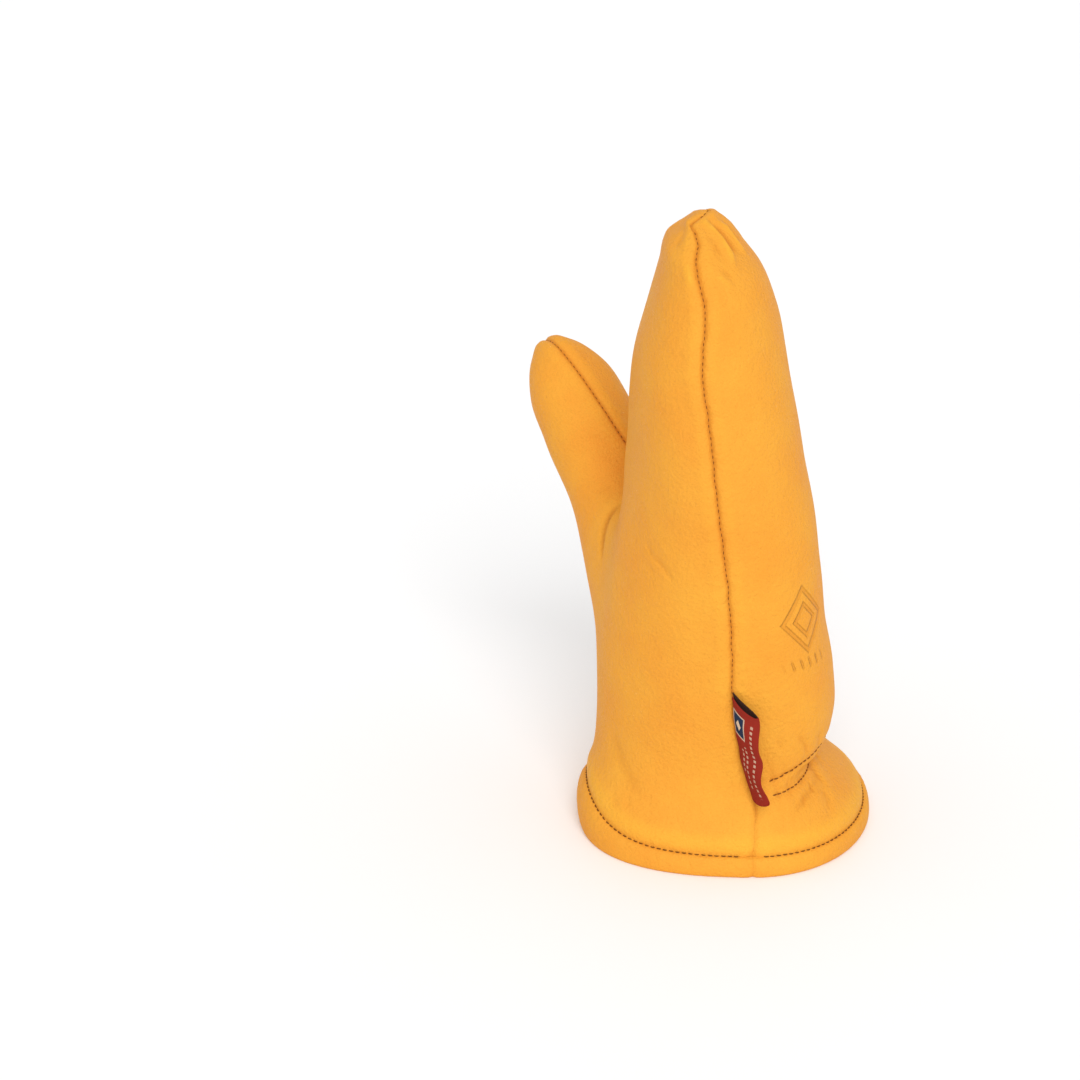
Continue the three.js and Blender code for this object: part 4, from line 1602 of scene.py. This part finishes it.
@dataclass(frozen=True)
class WovenTape:
    """Red woven tape with a dark blue block, a cream diamond and dashes, laid out on its UV map, with
    painted shade inside the mouth of its fold.

    Places on the tape are shares: across from the seam to the fold, up from the lower end.

    Args:
        ribs: threads up the tape, which set the weave.
        dashes: waves up the tape, which set the dashes.
        dash_rows: for each row of dashes, its two limits across and its two limits up.
        border, block: the same for the pale border and for the blue block inside it.
        diamond: its middle across and up, and half of its width and height.
        dash_share, border_share: how much cream shows in the dashes and in the border.
    """

    name: str = "woven tape"
    red: tuple[float, float, float] = (152, 42, 28)
    navy: tuple[float, float, float] = (37, 51, 76)
    cream: tuple[float, float, float] = (226, 200, 170)
    # Painted shade: the colour inside the mouth at the top of the fold.
    shade: tuple[float, float, float] = (58, 34, 26)
    ribs: float = 150.0
    dashes: float = 118.0
    dash_rows: tuple[tuple[float, float, float, float], ...] = (
        (0.22, 0.30, 0.08, 0.90), (0.50, 0.57, 0.16, 0.60), (0.66, 0.73, 0.30, 0.55))
    border: tuple[float, float, float, float] = (0.50, 0.98, 0.665, 0.905)
    block: tuple[float, float, float, float] = (0.54, 0.94, 0.68, 0.89)
    diamond: tuple[float, float, float, float] = (0.74, 0.785, 0.11, 0.055)
    dash_share: float = 0.6
    border_share: float = 0.8

    def build(self) -> bpy.types.Material:
        """Builds the material: patches by comparing UV places, the weave by two sine waves.

        Returns:
            The material.
        """
        material, sketch, shader = new_material(self.name)
        uv = sketch.add("UVMap", uv_map="tape").outputs["UV"]
        split = sketch.add("SeparateXYZ", {0: uv})
        across = sketch.maths("ABSOLUTE", split.outputs["X"])
        up = split.outputs["Y"]

        def between(value: bpy.types.NodeSocket, low: float, high: float) -> bpy.types.NodeSocket:
            """1 where a value lies between two limits, else 0."""
            return sketch.maths("MULTIPLY", sketch.maths("GREATER_THAN", value, low),
                                sketch.maths("LESS_THAN", value, high))

        def patch(left: float, right: float, foot: float, top: float) -> bpy.types.NodeSocket:
            """1 inside a rectangle of the tape, else 0."""
            return sketch.maths("MULTIPLY", between(across, left, right), between(up, foot, top))

        cream = rgba(*self.cream)
        wave = sketch.maths("SINE", sketch.maths("MULTIPLY", up, self.dashes))
        rows = patch(*self.dash_rows[0])
        for row in self.dash_rows[1:]:
            rows = sketch.maths("MAXIMUM", rows, patch(*row))
        dashes = sketch.maths("MULTIPLY", sketch.maths("GREATER_THAN", wave, -0.15), rows)
        colour = sketch.mixed(sketch.maths("MULTIPLY", dashes, self.dash_share), rgba(*self.red), cream)
        border = sketch.maths("MULTIPLY", patch(*self.border), self.border_share)
        colour = sketch.mixed(border, colour, cream)
        colour = sketch.mixed(patch(*self.block), colour, rgba(*self.navy))
        middle, centre, half_width, half_height = self.diamond
        aside = sketch.maths("ABSOLUTE", sketch.maths("SUBTRACT", across, middle))
        above = sketch.maths("ABSOLUTE", sketch.maths("SUBTRACT", up, centre))
        diamond = sketch.maths("ADD", sketch.maths("DIVIDE", aside, half_width),
                               sketch.maths("DIVIDE", above, half_height))
        colour = sketch.mixed(sketch.maths("LESS_THAN", diamond, 1.0), colour, cream)
        # Painted shade on the ply behind, near the top, inside the fold's mouth.
        painted_mouth_shade = sketch.maths("MULTIPLY", sketch.maths("LESS_THAN", split.outputs["X"], -0.02),
                                 sketch.maths("GREATER_THAN", up, 0.88))
        colour = sketch.mixed(painted_mouth_shade, colour, rgba(*self.shade))
        rib = sketch.maths("SINE", sketch.maths("MULTIPLY", up, self.ribs * 2 * np.pi / 3))
        rib_across = sketch.maths("SINE", sketch.maths("MULTIPLY", split.outputs["X"], self.ribs * 2))
        weave = sketch.maths("MULTIPLY", rib, rib_across)
        shade = sketch.add("MapRange", {0: weave, 1: -1.0, 2: 1.0, 3: 0.78, 4: 1.0})
        colour = sketch.mixed(1.0, colour, shade.outputs[0], "MULTIPLY")
        bump = sketch.add("Bump", {"Height": weave, "Strength": 0.5, "Distance": 0.00015})
        material.node_tree.links.new(colour, shader.inputs["Base Color"])
        material.node_tree.links.new(bump.outputs["Normal"], shader.inputs["Normal"])
        shader.inputs["Roughness"].default_value = 0.85
        shader.inputs["Specular IOR Level"].default_value = 0.15
        return material


@dataclass
class Studio:
    """A pale floor, soft light and a camera that looks down on the mitten."""

    placer: Placer
    distance: float = 1100.0
    tilt: float = 22.0
    scale: float = 0.400
    cuff_pixel: tuple[float, float] = (726.0, 797.0)
    cuff_point: tuple[float, float, float] = (0.0, 0.0, 5.0)
    frame_pixels: float = 1080.0
    sensor: float = 36.0
    floor_reach: float = 6.0
    floor_tone: float = 0.93
    key_toward: tuple[float, float, float] = (0.08, -0.8, 0.62)
    key_strength: float = 1.75
    key_spread: float = 36.0
    surround: float = 0.79

    def camera(self) -> bpy.types.Object:
        """Places the camera so that the cuff's middle falls on its pixel, at the given depth.

        Returns:
            The camera.
        """
        tilt = np.radians(self.tilt)
        right = np.array([1.0, 0.0, 0.0])
        up = np.array([0.0, np.sin(tilt), np.cos(tilt)])
        forward = np.array([0.0, np.cos(tilt), -np.sin(tilt)])
        middle = self.frame_pixels / 2
        sideways = (self.cuff_pixel[0] - middle) * self.scale
        below = (self.cuff_pixel[1] - middle) * self.scale
        place = np.array(self.cuff_point) - sideways * right + below * up - self.distance * forward
        data = bpy.data.cameras.new("camera")
        data.sensor_width = self.sensor
        data.lens = self.sensor * self.distance / (self.scale * self.frame_pixels)
        data.clip_start = 0.05
        obj = bpy.data.objects.new("camera", data)
        turn = Matrix(np.stack([right, up, -forward], axis=1).tolist()).to_4x4()
        obj.matrix_world = Matrix.Translation(self.placer.place(place).tolist()) @ turn
        bpy.context.collection.objects.link(obj)
        bpy.context.scene.camera = obj
        return obj

    def floor(self) -> bpy.types.Object:
        """A wide pale floor, which isn't part of the mitten.

        Returns:
            The floor.
        """
        mesh = bpy.data.meshes.new("floor")
        reach = self.floor_reach
        corners = [(-reach, -reach, 0), (reach, -reach, 0), (reach, reach, 0), (-reach, reach, 0)]
        mesh.from_pydata(corners, [], [(0, 1, 2, 3)])
        obj = bpy.data.objects.new("floor", mesh)
        bpy.context.collection.objects.link(obj)
        material, _, shader = new_material("pale floor")
        shader.inputs["Base Color"].default_value = (*[self.floor_tone] * 3, 1)
        shader.inputs["Roughness"].default_value = 0.6
        mesh.materials.append(material)
        return obj

    def key_light(self) -> None:
        """A far light, wide and therefore soft and even."""
        data = bpy.data.lights.new("key light", "SUN")
        data.energy = self.key_strength
        data.angle = np.radians(self.key_spread)
        obj = bpy.data.objects.new("key light", data)
        back = unit(np.array(self.key_toward))
        side = unit(np.cross((0.0, 0.0, 1.0), back))
        obj.matrix_world = Matrix(np.stack([side, np.cross(back, side), back], axis=1).tolist()).to_4x4()
        bpy.context.collection.objects.link(obj)

    def build(self) -> None:
        """Sets everything up, with a white surround."""
        self.camera()
        self.floor()
        self.key_light()
        world = bpy.data.worlds.new("white surround")
        world.use_nodes = True
        background = world.node_tree.nodes["Background"]
        background.inputs["Color"].default_value = (1.0, 1.0, 1.0, 1.0)
        background.inputs["Strength"].default_value = self.surround
        bpy.context.scene.world = world
        bpy.context.scene.view_settings.view_transform = "Standard"


@dataclass
class Mitten:
    """The whole mitten, built piece by piece."""

    shell: MittenShell = field(default_factory=MittenShell)
    seam_start: float = 27.0
    tucked: tuple[float, float] = (242.0, 244.3)
    row_ends: tuple[float, float] = (0.072, 0.93)
    hem_ends: tuple[float, float] = (0.022, 0.978)
    ring_height: float = 4.0

    def placer(self) -> Placer:
        """Finds the step to the model's frame: the cuff's ring has the same middle in both.

        Returns:
            What writes the meshes in that frame.
        """
        across = self.shell.across
        heights = np.full_like(across, self.ring_height)
        along = self.shell.form.along_at(heights)
        ring = np.vstack([self.shell.form.skin(side, across, along) for side in Side])
        own = (ring.min(0) + ring.max(0)) / 2
        low, high = (np.array(corner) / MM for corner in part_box("cuff_hem"))
        shift = (low + high) / 2 - own
        shift[2] = 0.0
        return Placer(shift)

    def wrist_lines(self) -> list[tuple[Array, Array]]:
        """The two sewn rows across the back of the wrist.

        Returns:
            Points and normals of each row.
        """
        across = np.linspace(*self.row_ends, 600)
        form, relief = self.shell.form, self.shell.relief
        return [self.shell.sample(Side.BACK, across, form.along_at(relief.row_height(row, across)))
                for row in (0, 1)]

    def hem_lines(self) -> list[tuple[Array, Array]]:
        """The hem's row of stitches, on both panels, with a gap at each seam.

        Returns:
            Points and normals on each panel.
        """
        across = np.linspace(*self.hem_ends, 500)
        form, relief = self.shell.form, self.shell.relief
        return [self.shell.sample(side, across, form.along_at(relief.hem_top(side, across) + 0.2))
                for side in Side]

    def seam_lines(self) -> list[tuple[Array, Array]]:
        """The long seam's visible stitches, from above the cuff over the tip and round the thumb.

        Just below the tip a fold hides a short stretch of them.

        Returns:
            Points and normals of the stretch below the fold and of the stretch past it.
        """
        near, near_out = self.shell.seam_line(Seam.NEAR)
        far, far_out = self.shell.seam_line(Seam.FAR)
        below = (near[:, 2] > self.seam_start) & (near[:, 2] < self.tucked[0])
        above = near[:, 2] > self.tucked[1]
        sewn_far = far[:, 2] > self.seam_start
        points = np.vstack([near[above], far[sewn_far][::-1][1:]])
        normals = np.vstack([near_out[above], far_out[sewn_far][::-1][1:]])
        return [(near[below], near_out[below]), (points, normals)]

    def build(self) -> None:
        """Builds and dresses every piece, and reports each one."""
        placer = self.placer()
        Studio(placer).build()
        grain = LeatherGrain().group()
        leather = GoldenLeather("golden leather").build(grain)
        stamped = GoldenLeather("stamped golden leather").build(grain, BlindStamp().group())
        hem_leather = GoldenLeather("golden hem leather", roughness=0.58).build(grain)
        thread = SewingThread().build()
        pieces = [
            LeatherPanel(self.shell, Side.PALM, "palm_panel").build(placer, leather),
            LeatherPanel(self.shell, Side.BACK, "back_panel").build(placer, stamped),
            TurnedHem(self.shell).build(placer, hem_leather),
            StitchRun("side_seam_stitches", thickness=0.27).build(placer, self.seam_lines(), thread),
            StitchRun("hem_stitches", pitch=2.5, length=1.8, thickness=0.42, rise=0.4).build(
                placer, self.hem_lines(), thread),
            StitchRun("wrist_stitches", pitch=2.4, length=2.1, thickness=0.46, rise=0.2).build(
                placer, self.wrist_lines(), thread),
        ]
        tag = WovenTag(self.shell)
        tape = tag.build(placer, WovenTape().build())
        flat = tag.flat_size()
        pieces.append(tape)
        for piece in pieces:
            LOG.info("%s: %d faces", piece.name, len(piece.data.polygons))


def main() -> None:
    """Builds the scene."""
    logging.basicConfig(level=logging.INFO, format="%(name)s: %(message)s")
    Mitten().build()


if __name__ == "__main__":
    main()
